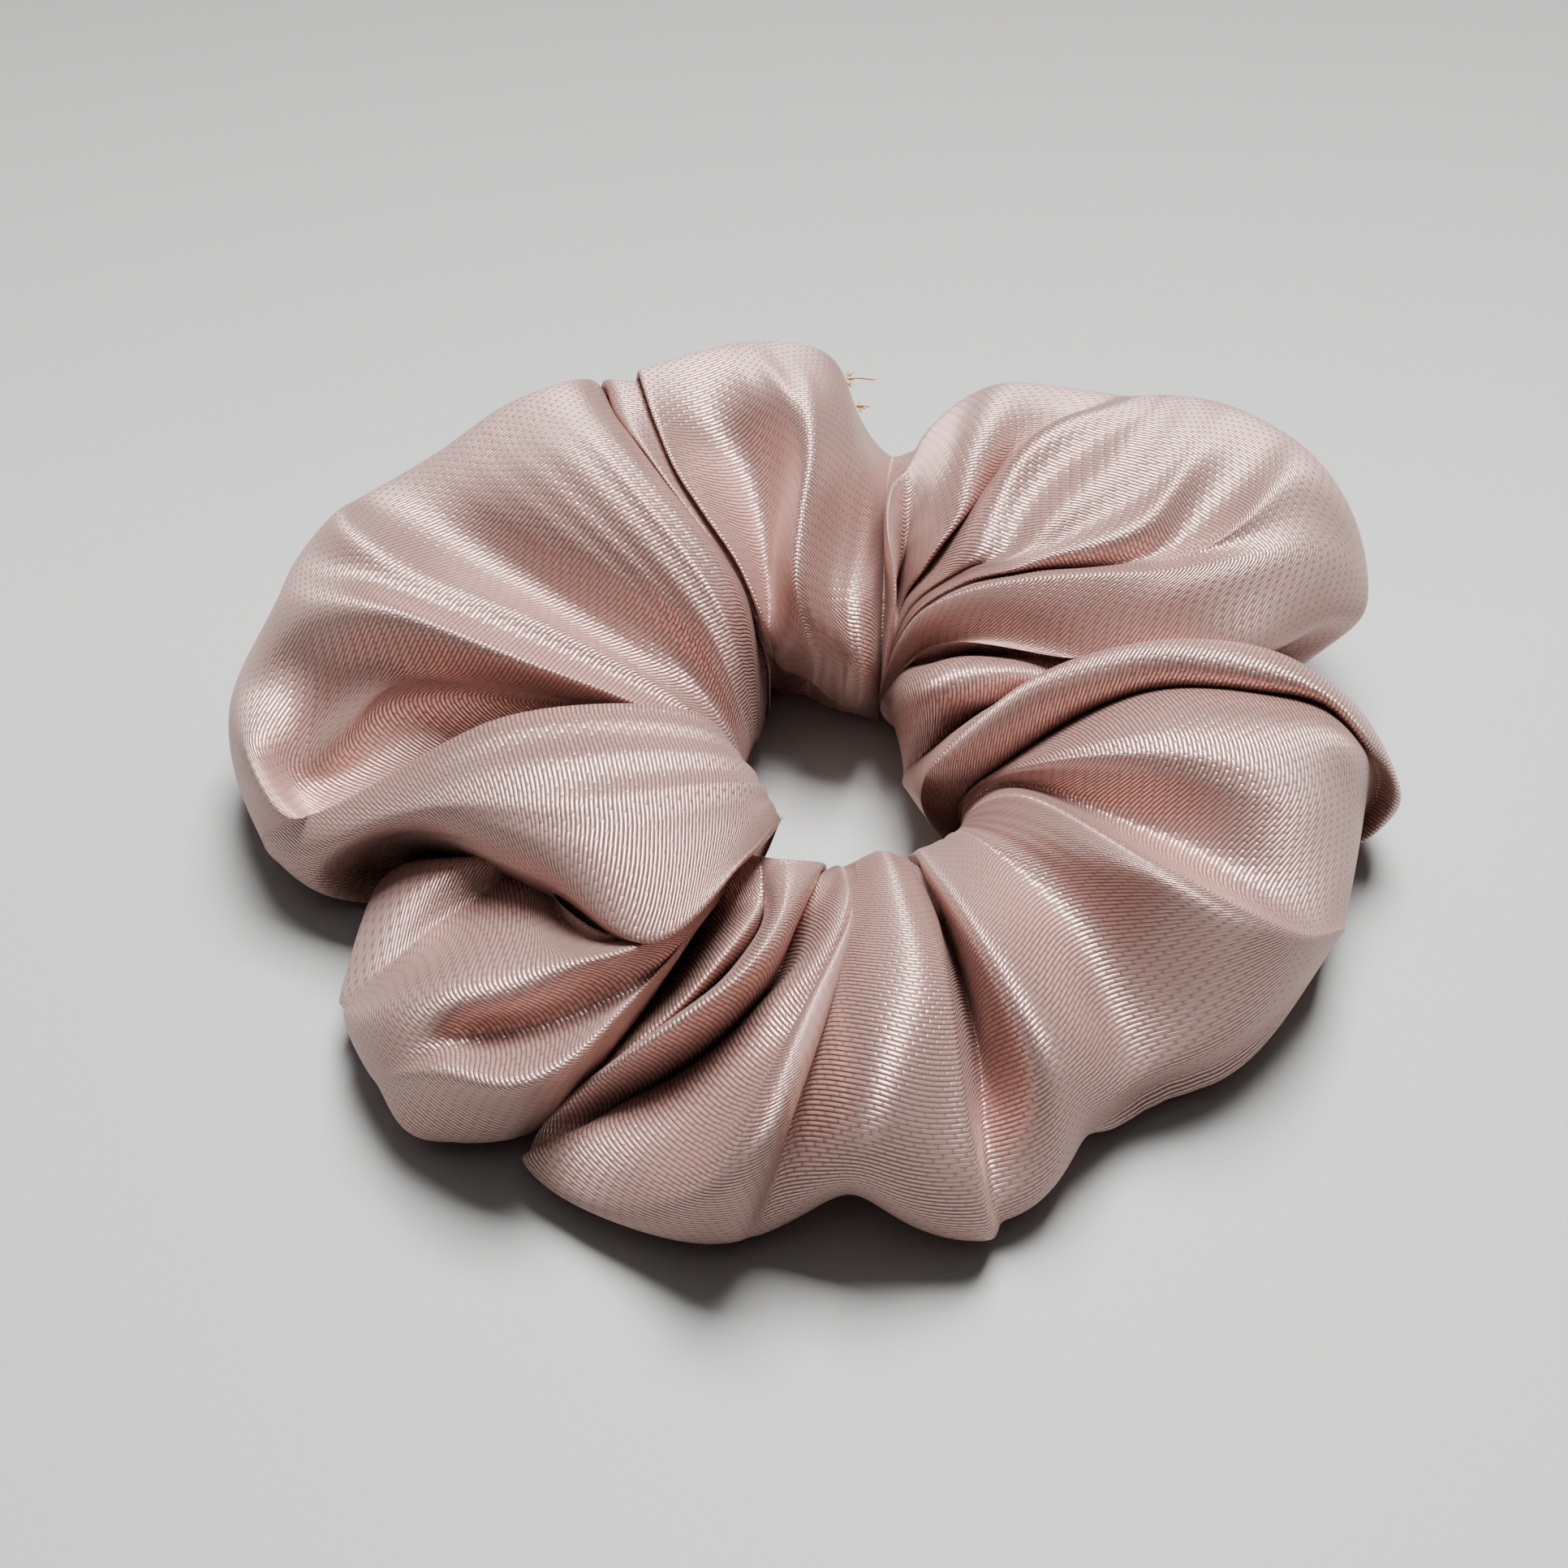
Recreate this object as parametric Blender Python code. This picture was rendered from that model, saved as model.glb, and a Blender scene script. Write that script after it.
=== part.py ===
"""Satin scrunchie: a gathered fabric sleeve round a stitched elastic band.

The sleeve is one strip of satin, folded lengthwise into a tube. Its long edges meet in a seam under the elastic,
and the allowances of that seam stand up inside. One end of the tube is tucked into the other, and stitched.
Units are metres and degrees, +Z is up, and the scrunchie lies flat on Z = 0.
"""

import math

import bmesh
import bpy
from mathutils import Vector

MM = 0.001
TURN = 360.0

# The ring. Its middle isn't the middle of the box, because the lobes of cloth reach out unevenly.
RING_X, RING_Y = 3.65 * MM, 2.91 * MM

# The lobes of cloth between two gathers: (angle round the ring, reach from the ring's middle, height).
LOBES = (
    (22.0, 55.5, 27.0),
    (56.0, 50.5, 28.0),
    (95.0, 49.1, 29.0),
    (130.0, 51.0, 29.0),
    (158.0, 57.5, 27.0),
    (180.0, 61.5, 26.0),
    (218.0, 57.5, 26.0),
    (248.0, 56.5, 25.0),
    (279.0, 55.7, 24.0),
    (322.0, 51.0, 26.0),
    (352.0, 54.0, 26.0),
)
GATHER_REACH, GATHER_HEIGHT = 0.83, 0.80  # a gather's reach and height, as shares of its lobes' own
LOBE_HOLE, GATHER_HOLE = 12.5, 14.5  # the radius of the middle hole at a lobe and at a gather

# The sleeve's section, from the outer side of the long seam round to its inner side: shares of width and height.
SECTION = (
    (0.46, 0.00),
    (0.72, 0.00),
    (0.90, 0.09),
    (0.985, 0.28),
    (1.00, 0.47),
    (0.96, 0.70),
    (0.85, 0.89),
    (0.67, 1.00),
    (0.47, 0.98),
    (0.29, 0.87),
    (0.14, 0.69),
    (0.035, 0.49),
    (0.00, 0.32),
    (0.05, 0.13),
    (0.17, 0.00),
)
WALL = 0.9  # the gathered cloth, which is many thin layers, as one wall
SEAM_INSIDE, SEAM_OUTSIDE = 24.2, 25.6  # the two edges that the long seam joins
ALLOWANCE_HEIGHT = 6.0
ALLOWANCE_ENDS = WALL + 0.05  # an allowance trimmed down to the wall, where the ends overlap
TUCK_START, TUCK_ANGLE, TUCK_BLEND = 105.0, 8.0, 9.0
TUCK_DEPTH = WALL + 0.5
SEAM_LIFT, SEAM_LIFT_SPAN = 1.2, 20.0  # the closing seam pulls the sleeve up off the surface
STATIONS = 81

# The elastic, a flat band bent into a ring, whose ends overlap.
BAND_RADIUS, BAND_THICK, BAND_WIDTH = 20.0, 1.0, 6.0
BAND_LOW = 7.0
BAND_START, BAND_OVERLAP = 205.0, 30.0
BAND_GROWTH = 1.3  # how much wider one turn has grown, so that the ends lie on each other
BAND_STATIONS = 79

# Threads.
THREAD_RADIUS = 0.20
THREAD_GAP = 0.55  # from a surface to the middle of the thread on it
NEEDLE_HOLE = 0.52
HOLE_SIDES = 6
LONG_STITCHES = 36
CLOSING_STITCHES = 18
BAND_STITCHES = 6
TAIL_ANGLE = 80.0
TAILS = (("thread_tail_upper", 0.45, 3.0, 0.1), ("thread_tail_lower", 0.38, 1.8, 0.9))  # share, length, rise


def ring_point(angle, radius, height):
    """The point at this angle, radius and height of the ring, in millimetres, as metres."""
    turn = math.radians(angle)
    return Vector((radius * math.cos(turn), radius * math.sin(turn), height)) * MM


def smooth(share):
    """0 to 1 with soft ends."""
    share = min(1.0, max(0.0, share))
    return share * share * (3.0 - 2.0 * share)


def lobe_size(angle):
    """(hole radius, reach, height) of the sleeve at this angle, in millimetres."""
    angle %= TURN
    for index, (start, reach, height) in enumerate(LOBES):
        next_start, next_reach, next_height = LOBES[(index + 1) % len(LOBES)]
        span = (next_start - start) % TURN
        share = ((angle - start) % TURN) / span
        if share <= 1.0:
            fullness = 0.5 + 0.5 * math.cos(2.0 * math.pi * share)
            reach += (next_reach - reach) * share
            height += (next_height - height) * share
            reach *= GATHER_REACH + (1.0 - GATHER_REACH) * fullness
            height *= GATHER_HEIGHT + (1.0 - GATHER_HEIGHT) * fullness
            return GATHER_HOLE + (LOBE_HOLE - GATHER_HOLE) * fullness, reach, height
    raise ValueError(f"no lobe covers {angle}")


def seam_lift(angle):
    """How far the bottom of the sleeve is lifted at this angle, near the closing seam."""
    away = (angle - TUCK_START - TUCK_ANGLE / 2.0 + TURN / 2.0) % TURN - TURN / 2.0
    return SEAM_LIFT * smooth((SEAM_LIFT_SPAN - abs(away)) / SEAM_LIFT_SPAN * 2.0)


def outline(angle):
    """The outer side of the sleeve's section at this angle, as (radius, height) pairs in millimetres."""
    hole, reach, height = lobe_size(angle)
    width = reach - hole
    lift = seam_lift(angle)
    points = [(SEAM_OUTSIDE, lift)]
    points += [(hole + across * width, lift + up * (height - lift)) for across, up in SECTION]
    points.append((SEAM_INSIDE, lift))
    return points


def inset(points, depth):
    """The same outline, moved inwards by depth. Its two ends move straight up."""
    moved = []
    for index, (radius, height) in enumerate(points):
        if index in (0, len(points) - 1):
            moved.append((radius, height + depth))
            continue
        before, after = points[index - 1], points[index + 1]
        along = Vector((after[0] - before[0], after[1] - before[1])).normalized()
        moved.append((radius - along.y * depth, height + along.x * depth))
    return moved


def tuck_at(angle):
    """How far the sleeve is tucked in at this angle, counted from its inner end."""
    past = angle - TUCK_START - TUCK_ANGLE
    return TUCK_DEPTH * (1.0 - smooth(past / TUCK_BLEND))


def allowance_at(angle):
    """How high the seam allowance stands at this angle. It is trimmed where the ends overlap."""
    from_start = (angle - TUCK_START - TUCK_ANGLE - TUCK_BLEND) / TUCK_BLEND
    from_end = (TUCK_START + TURN - angle) / TUCK_BLEND
    share = smooth(min(from_start, from_end))
    return ALLOWANCE_ENDS + (ALLOWANCE_HEIGHT - ALLOWANCE_ENDS) * share


def sleeve_section(angle):
    """One closed section of the sleeve's wall, with the two allowances, as points in metres."""
    outer = inset(outline(angle), tuck_at(angle))
    inner = inset(outer, WALL)
    foot = outer[0][1]
    top = foot + allowance_at(angle)
    inner[0] = (SEAM_OUTSIDE + WALL, foot + WALL)
    inner[-1] = (SEAM_INSIDE - WALL, foot + WALL)
    section = list(outer)
    section += [(SEAM_INSIDE, top), (SEAM_INSIDE - WALL, top)]
    section += reversed(inner)
    section += [(SEAM_OUTSIDE + WALL, top), (SEAM_OUTSIDE, top)]
    return [ring_point(angle, radius, height) for radius, height in section]


def add_material(name, colour, roughness):
    """A plain material with this colour and roughness."""
    material = bpy.data.materials.new(name)
    material.use_nodes = True
    shader = material.node_tree.nodes["Principled BSDF"]
    shader.inputs["Base Color"].default_value = (*colour, 1.0)
    shader.inputs["Roughness"].default_value = roughness
    shader.inputs["Metallic"].default_value = 0.0
    return material


def add_object(name, data, material, parent):
    """An object for this mesh or curve, on the ring's own empty."""
    made = bpy.data.objects.new(name, data)
    bpy.context.scene.collection.objects.link(made)
    made.data.materials.append(material)
    made.parent = parent
    return made


def loft(name, sections, material, parent):
    """A solid through closed sections that have the same number of points, with its ends filled."""
    shape = bmesh.new()
    rings = [[shape.verts.new(point) for point in section] for section in sections]
    count = len(sections[0])
    for ring, following in zip(rings, rings[1:]):
        for index in range(count):
            after = (index + 1) % count
            shape.faces.new((ring[index], ring[after], following[after], following[index]))
    shape.faces.new(list(reversed(rings[0])))
    shape.faces.new(rings[-1])
    bmesh.ops.recalc_face_normals(shape, faces=shape.faces)
    mesh = bpy.data.meshes.new(name)
    shape.to_mesh(mesh)
    shape.free()
    mesh.shade_smooth()
    mesh.set_sharp_from_angle(angle=math.radians(50.0))
    return add_object(name, mesh, material, parent)


def thread(name, points, material, parent):
    """One thread along these points, in metres."""
    curve = bpy.data.curves.new(name, "CURVE")
    curve.dimensions = "3D"
    curve.bevel_depth = THREAD_RADIUS * MM
    curve.bevel_resolution = 1
    curve.use_fill_caps = True
    spline = curve.splines.new("POLY")
    spline.points.add(len(points) - 1)
    for target, point in zip(spline.points, points):
        target.co = (*point, 1.0)
    return add_object(name, curve, material, parent)


def pierce(target, needle_lines, parent):
    """Cuts a needle hole through target along each (start, end) line."""
    shape = bmesh.new()
    for start, end in needle_lines:
        along = end - start
        turn = along.to_track_quat("Z", "Y").to_matrix().to_4x4()
        turn.translation = (start + end) / 2.0
        bmesh.ops.create_cone(
            shape,
            cap_ends=True,
            segments=HOLE_SIDES,
            radius1=NEEDLE_HOLE * MM,
            radius2=NEEDLE_HOLE * MM,
            depth=along.length,
            matrix=turn,
        )
    mesh = bpy.data.meshes.new(target.name + "_needle_holes")
    shape.to_mesh(mesh)
    shape.free()
    cutter = add_object(mesh.name, mesh, target.data.materials[0], parent)
    cutter.hide_render = True
    cutter.display_type = "WIRE"
    cut = target.modifiers.new("needle_holes", "BOOLEAN")
    cut.operation = "DIFFERENCE"
    cut.object = cutter


def build_sleeve(material, parent):
    """The satin tube, from its tucked end once round the ring to the end that covers it."""
    length = TURN + TUCK_ANGLE
    angles = [TUCK_START + length * index / (STATIONS - 1) for index in range(STATIONS)]
    return loft("satin_sleeve", [sleeve_section(angle) for angle in angles], material, parent)


def band_radius(angle, layer_offset=0.0):
    """The middle of the elastic at this angle, counted from the band's inner end."""
    return BAND_RADIUS + BAND_GROWTH * (angle - BAND_START) / TURN + layer_offset


def build_band(material, parent):
    """The elastic: a flat band, once round the ring and on past its own start."""
    half = BAND_THICK / 2.0
    high = BAND_LOW + BAND_WIDTH
    sections = []
    for index in range(BAND_STATIONS):
        angle = BAND_START + (TURN + BAND_OVERLAP) * index / (BAND_STATIONS - 1)
        inside, outside = band_radius(angle, -half), band_radius(angle, half)
        corners = ((inside, BAND_LOW), (outside, BAND_LOW), (outside, high), (inside, high))
        sections.append([ring_point(angle, radius, height) for radius, height in corners])
    return loft("elastic_band", sections, material, parent)


def build_band_stitches(band, material, parent):
    """A zigzag of thread that holds the overlapping ends of the elastic together."""
    inside = band_radius(BAND_START, -BAND_THICK / 2.0) - THREAD_GAP
    outside = band_radius(BAND_START + TURN + BAND_OVERLAP, BAND_THICK / 2.0) + THREAD_GAP
    rows = (BAND_LOW + BAND_WIDTH * 0.28, BAND_LOW + BAND_WIDTH * 0.72)
    path, needle_lines = [], []
    for index in range(BAND_STITCHES):
        angle = BAND_START + BAND_OVERLAP * (index + 0.8) / (BAND_STITCHES + 0.6)
        height = rows[index % 2]
        ends = [ring_point(angle, inside, height), ring_point(angle, outside, height)]
        needle_lines.append(ends)
        path += ends if index % 2 else reversed(ends)
    pierce(band, needle_lines, parent)
    thread("elastic_join_stitches", path, material, parent)


def build_long_seam(material, parent):
    """The overlock thread that saddles both allowances of the long seam."""
    start = TUCK_START + TUCK_ANGLE + 2.0 * TUCK_BLEND
    step = (TUCK_START + TURN - TUCK_BLEND - start) / LONG_STITCHES
    left = SEAM_INSIDE - WALL - THREAD_GAP
    right = SEAM_OUTSIDE + WALL + THREAD_GAP
    low, high = WALL + 2.0 * THREAD_GAP, ALLOWANCE_HEIGHT + THREAD_GAP
    path = []
    for index in range(LONG_STITCHES):
        angle = start + step * index
        sides = (left, right) if index % 2 == 0 else (right, left)
        path.append(ring_point(angle, sides[0], low))
        path.append(ring_point(angle, sides[0], high))
        path.append(ring_point(angle, sides[1], high))
        path.append(ring_point(angle, sides[1], low))
    thread("long_seam_stitches", path, material, parent)


def along_outline(points, share):
    """The point at this share of an outline's length, and the direction that faces out of it there."""
    pairs = [(Vector(a), Vector(b)) for a, b in zip(points, points[1:])]
    left = share * sum((b - a).length for a, b in pairs)
    for a, b in pairs:
        if left <= (b - a).length:
            along = (b - a).normalized()
            return a + along * left, Vector((along.y, -along.x))
        left -= (b - a).length
    raise ValueError(f"{share} is past the end of the outline")


def build_closing_seam(sleeve, material, parent):
    """The running stitches round the tube that hold its tucked end, with a needle hole for each."""
    angle = TUCK_START + TUCK_ANGLE / 2.0
    points = outline(angle)
    first, last = 0.05, 0.93
    outside, inside = THREAD_GAP, -(TUCK_DEPTH + WALL + THREAD_GAP)
    step = (last - first) / (CLOSING_STITCHES - 1)
    path, needle_lines = [], []

    def at(share, offset):
        place, out = along_outline(points, share)
        place = place + out * offset
        return ring_point(angle, place.x, place.y)

    for index in range(CLOSING_STITCHES):
        share = first + step * index
        sides = (outside, inside) if index % 2 else (inside, outside)
        path += [at(share, side) for side in sides]
        needle_lines.append((at(share, 2.0 * THREAD_GAP), at(share, inside - THREAD_GAP)))
        if index < CLOSING_STITCHES - 1:
            path += [at(share + step * part, sides[1]) for part in (0.33, 0.67)]
    pierce(sleeve, needle_lines, parent)
    thread("closing_seam_stitches", path, material, parent)


def build_thread_tails(material, parent):
    """The two cut ends of the closing thread, which stand out of the lobe beside the closing seam."""
    for name, share, length, rise in TAILS:
        place, out = along_outline(outline(TAIL_ANGLE), share)
        place += out * THREAD_GAP
        root = ring_point(TAIL_ANGLE, place.x, place.y)
        steps = [Vector((length * part, 0.3 * part, rise * part * part)) * MM for part in (0.0, 0.5, 1.0)]
        thread(name, [root + step for step in steps], material, parent)


def main():
    """Builds every piece of the scrunchie."""
    for old in list(bpy.data.objects):
        bpy.data.objects.remove(old)
    satin = add_material("satin", (0.60, 0.37, 0.33), 0.35)
    elastic = add_material("elastic", (0.80, 0.78, 0.74), 0.85)
    cotton = add_material("thread", (0.62, 0.43, 0.37), 0.70)
    ring = bpy.data.objects.new("ring_centre", None)
    bpy.context.scene.collection.objects.link(ring)
    ring.location = (RING_X, RING_Y, 0.0)

    sleeve = build_sleeve(satin, ring)
    band = build_band(elastic, ring)
    build_band_stitches(band, cotton, ring)
    build_long_seam(cotton, ring)
    build_closing_seam(sleeve, cotton, ring)
    build_thread_tails(cotton, ring)


main()
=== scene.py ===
"""A gathered satin scrunchie on a pale table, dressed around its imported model.

Lengths in the classes are millimetres, and an angle is in degrees round the ring from +X.
"""

import logging
import math
from dataclasses import dataclass, field
from enum import Enum

import bmesh
import bpy
import numpy as np
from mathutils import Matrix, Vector


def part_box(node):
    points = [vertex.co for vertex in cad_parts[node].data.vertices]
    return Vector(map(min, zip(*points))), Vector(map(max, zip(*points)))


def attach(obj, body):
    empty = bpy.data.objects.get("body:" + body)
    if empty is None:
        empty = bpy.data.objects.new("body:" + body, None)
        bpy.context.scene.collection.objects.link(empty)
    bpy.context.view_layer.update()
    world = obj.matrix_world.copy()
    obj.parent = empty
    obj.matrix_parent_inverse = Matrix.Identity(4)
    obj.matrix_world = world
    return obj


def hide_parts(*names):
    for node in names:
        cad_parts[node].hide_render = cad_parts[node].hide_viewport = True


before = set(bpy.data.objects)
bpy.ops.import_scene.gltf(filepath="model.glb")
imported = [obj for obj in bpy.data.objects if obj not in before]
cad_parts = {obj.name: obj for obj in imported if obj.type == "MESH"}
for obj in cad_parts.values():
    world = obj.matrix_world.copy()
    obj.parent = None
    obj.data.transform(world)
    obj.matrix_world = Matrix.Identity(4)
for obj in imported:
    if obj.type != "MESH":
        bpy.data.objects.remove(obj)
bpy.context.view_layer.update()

MM = 0.001
RING_CENTRE = Vector((3.65, 2.91, 0.0)) * MM
LOG = logging.getLogger("scrunchie")
CLOTH_MAP = "cloth_mm"  # the satin's map, whose two axes are millimetres of cloth

Colour = tuple[float, float, float]
Place = tuple[float, float, float]


# ---------------------------------------------------------------- shader maths


@dataclass(frozen=True)
class Signal:
    """A number that varies over a surface, held as the socket that gives it."""

    graph: "Graph"
    socket: bpy.types.NodeSocket

    def _math(self, operation: str, *values: "Signal | float") -> "Signal":
        """Adds a Math node.

        Args:
            operation: the Math node's operation.
            values: its inputs in order, as signals or plain numbers.

        Returns:
            The node's result.
        """
        return self.graph.node("ShaderNodeMath", {"operation": operation}, dict(enumerate(values))).out()

    def __add__(self, other: "Signal | float") -> "Signal":
        """This plus other."""
        return self._math("ADD", self, other)

    def __radd__(self, other: float) -> "Signal":
        """Other plus this."""
        return self._math("ADD", other, self)

    def __sub__(self, other: "Signal | float") -> "Signal":
        """This minus other."""
        return self._math("SUBTRACT", self, other)

    def __rsub__(self, other: float) -> "Signal":
        """Other minus this."""
        return self._math("SUBTRACT", other, self)

    def __mul__(self, other: "Signal | float") -> "Signal":
        """This times other."""
        return self._math("MULTIPLY", self, other)

    def __rmul__(self, other: float) -> "Signal":
        """Other times this."""
        return self._math("MULTIPLY", other, self)

    def __truediv__(self, other: "Signal | float") -> "Signal":
        """This over other."""
        return self._math("DIVIDE", self, other)

    def __pow__(self, other: float) -> "Signal":
        """This to the power of other."""
        return self._math("POWER", self, other)

    def __abs__(self) -> "Signal":
        """The size of this without its sign."""
        return self._math("ABSOLUTE", self)

    def fract(self) -> "Signal":
        """What is left of this past its whole part."""
        return self._math("FRACT", self)

    def floor(self) -> "Signal":
        """The whole part of this."""
        return self._math("FLOOR", self)

    def sine(self) -> "Signal":
        """The sine of this, in radians."""
        return self._math("SINE", self)

    def angle_over(self, other: "Signal") -> "Signal":
        """The angle whose sine and cosine go as this and other, in radians."""
        return self._math("ARCTAN2", self, other)


@dataclass(frozen=True)
class Made:
    """A shader node that has been added, with short ways to its outputs."""

    graph: "Graph"
    node: bpy.types.Node

    def out(self, name: str | int = 0) -> Signal:
        """One of the node's outputs, by its name or place."""
        return Signal(self.graph, self.node.outputs[name])


class Graph:
    """One procedural material and the nodes that make it."""

    def __init__(self, name: str, **constants: float | tuple) -> None:
        """Starts a material on one Principled shader.

        Args:
            name: the material's name.
            constants: values for the shader's own sockets, with _ for a space.
        """
        self.material = bpy.data.materials.new(name)
        self.material.use_nodes = True
        self.tree = self.material.node_tree
        self.tree.nodes.clear()
        output = self.tree.nodes.new("ShaderNodeOutputMaterial")
        self.shader = self.tree.nodes.new("ShaderNodeBsdfPrincipled")
        self.tree.links.new(self.shader.outputs[0], output.inputs["Surface"])
        for key, value in constants.items():
            self.shader.inputs[key.replace("_", " ")].default_value = value

    def node(self, kind: str, settings: dict | None = None, sockets: dict | None = None) -> Made:
        """Adds one node.

        Args:
            kind: the node's type.
            settings: its own properties, which are set first.
            sockets: a value or a signal for each input, by name or place.

        Returns:
            The node that was made.
        """
        node = self.tree.nodes.new(kind)
        for key, value in (settings or {}).items():
            setattr(node, key, value)
        for key, value in (sockets or {}).items():
            if isinstance(value, Signal):
                self.tree.links.new(value.socket, node.inputs[key])
            else:
                node.inputs[key].default_value = value
        return Made(self, node)

    def mix(self, amount: Signal, low: "Signal | Colour", high: "Signal | Colour") -> Signal:
        """Blends two colours.

        Args:
            amount: the share of the second colour.
            low: the colour where amount is 0.
            high: the colour where amount is 1.

        Returns:
            The blended colour.
        """
        ends = [c if isinstance(c, Signal) else (*c, 1) for c in (low, high)]
        made = self.node("ShaderNodeMix", {"data_type": "RGBA"}, {0: amount, 6: ends[0], 7: ends[1]})
        return made.out(2)

    def noise(self, place: Signal, scale: float, detail: float = 2.0, rough: float = 0.5) -> Signal:
        """Smooth noise, from 0 to 1, at a place."""
        sockets = {"Vector": place, "Scale": scale, "Detail": detail, "Roughness": rough}
        return self.node("ShaderNodeTexNoise", {"noise_dimensions": "3D"}, sockets).out(0)

    def map_axes(self, map_name: str) -> tuple[Signal, Signal]:
        """Reads a UV map.

        Args:
            map_name: the map's name.

        Returns:
            Its two coordinates.
        """
        place = self.node("ShaderNodeUVMap", {"uv_map": map_name}).out()
        split = self.node("ShaderNodeSeparateXYZ", None, {0: place})
        return split.out("X"), split.out("Y")

    def object_place(self) -> Signal:
        """Where a point is on its object, in metres."""
        return self.node("ShaderNodeTexCoord").out("Object")

    def feed(self, socket: str, value: Signal) -> None:
        """Joins a varying value to one of the shader's sockets."""
        self.tree.links.new(value.socket, self.shader.inputs[socket])

    def bump(self, height: Signal, distance: float, strength: float = 1.0) -> None:
        """Raises the surface by height times distance, in metres."""
        sockets = {"Height": height, "Distance": distance, "Strength": strength}
        self.feed("Normal", self.node("ShaderNodeBump", None, sockets).out())


# -------------------------------------------------------------------- finishes


@dataclass(frozen=True)
class Satin:
    """Dusty pink satin: floats along the ring, a soft crosswise gloss, and painted shade in the gaps
    between the yarns and at the float ends.
    """

    name: str = "dusty_pink_satin"
    face: Colour = (0.580, 0.350, 0.308)
    # The gap colour is painted shade in the gaps between the yarns and at the ends of the floats.
    gap: Colour = (0.130, 0.050, 0.040)
    yarn: float = 0.44
    float_length: float = 1.5
    step: float = 0.38
    relief: float = 0.09
    gap_roughness: float = 0.42
    float_gloss: float = 0.14
    drift_scale: float = 60
    slub_scale: float = 1400

    def material(self) -> bpy.types.Material:
        """Builds the satin on the cloth's own map, in millimetres.

        Returns:
            The material.
        """
        graph = Graph(self.name, Metallic=0.5, Roughness=0.36, IOR=1.9, Specular_IOR_Level=0.9,
                      Specular_Tint=(1.0, 0.90, 0.86, 1), Anisotropic=0.6, Anisotropic_Rotation=0.25,
                      Sheen_Weight=0.10, Sheen_Roughness=0.4, Sheen_Tint=(1.0, 0.87, 0.83, 1))
        along, across = graph.map_axes(CLOTH_MAP)
        place = graph.object_place()
        drift = graph.noise(place, self.drift_scale, 3)
        rows = across / self.yarn
        ends = along / self.float_length + rows.floor() * self.step
        crown = 1 - abs(rows.fract() * 2 - 1) ** 2
        float_top = 1 - abs(ends.fract() * 2 - 1) ** 6
        height = crown * (0.35 + 0.65 * float_top)
        slub = graph.noise(place, self.slub_scale, 2)
        graph.bump(height + 0.5 * slub, self.relief * MM)
        # Painted shade: the colour darkens towards the gap colour where the weave is low, between the
        # yarns and at the float ends; the drift adds random tone.
        shade = 1.05 * height + 0.25 * drift - 0.08
        graph.feed("Base Color", graph.mix(shade, self.gap, self.face))
        graph.feed("Roughness", self.gap_roughness - self.float_gloss * height + 0.08 * drift)
        return graph.material


@dataclass(frozen=True)
class Yarn:
    """A twisted thread, with its strands turning round it and painted shade in the grooves between them.
    """

    name: str
    light: Colour
    # The second colour is the painted shade in the grooves between the strands.
    groove_shade: Colour
    twist: float = 0.5
    fuzz_scale: float = 3000
    relief: float = 0.03

    def material(self) -> bpy.types.Material:
        """Builds the thread from bands that slope across it, with painted shade in the grooves between the
        strands.

        Returns:
            The material.
        """
        graph = Graph(self.name, Roughness=0.6, Sheen_Weight=0.3)
        place = graph.object_place()
        split = graph.node("ShaderNodeSeparateXYZ", None, {0: place})
        slope = split.out("X") + split.out("Y") + split.out("Z") * 0.7
        strand = (slope * (math.tau / (self.twist * MM))).sine() * 0.5 + 0.5
        fuzz = graph.noise(place, self.fuzz_scale, 3)
        # Painted shade: the colour darkens in the grooves between the strands; the fuzz adds random tone.
        graph.feed("Base Color", graph.mix(strand * 0.7 + fuzz * 0.3, self.groove_shade, self.light))
        graph.feed("Roughness", 0.5 + 0.25 * fuzz)
        graph.bump(strand + 0.4 * fuzz, self.relief * MM)
        return graph.material


# A dusty pink thread colour and a darker copy of it, which is the painted shade in the grooves between the
# strands.
DUSTY_LIGHT: Colour = (0.66, 0.45, 0.40)
DUSTY_GROOVE_SHADE: Colour = (0.42, 0.24, 0.20)
# Each thread's second colour is the painted shade in the grooves between its strands.
WHITE_THREAD = Yarn("white_thread", (0.86, 0.84, 0.80), (0.60, 0.58, 0.54))
SEAM_THREAD = Yarn("seam_thread", DUSTY_LIGHT, DUSTY_GROOVE_SHADE)
CLOSING_THREAD = Yarn("closing_thread", DUSTY_LIGHT, DUSTY_GROOVE_SHADE)
RAW_YARN = Yarn("raw_yarn", (0.72, 0.50, 0.34), (0.40, 0.24, 0.15), 0.35)


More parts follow.
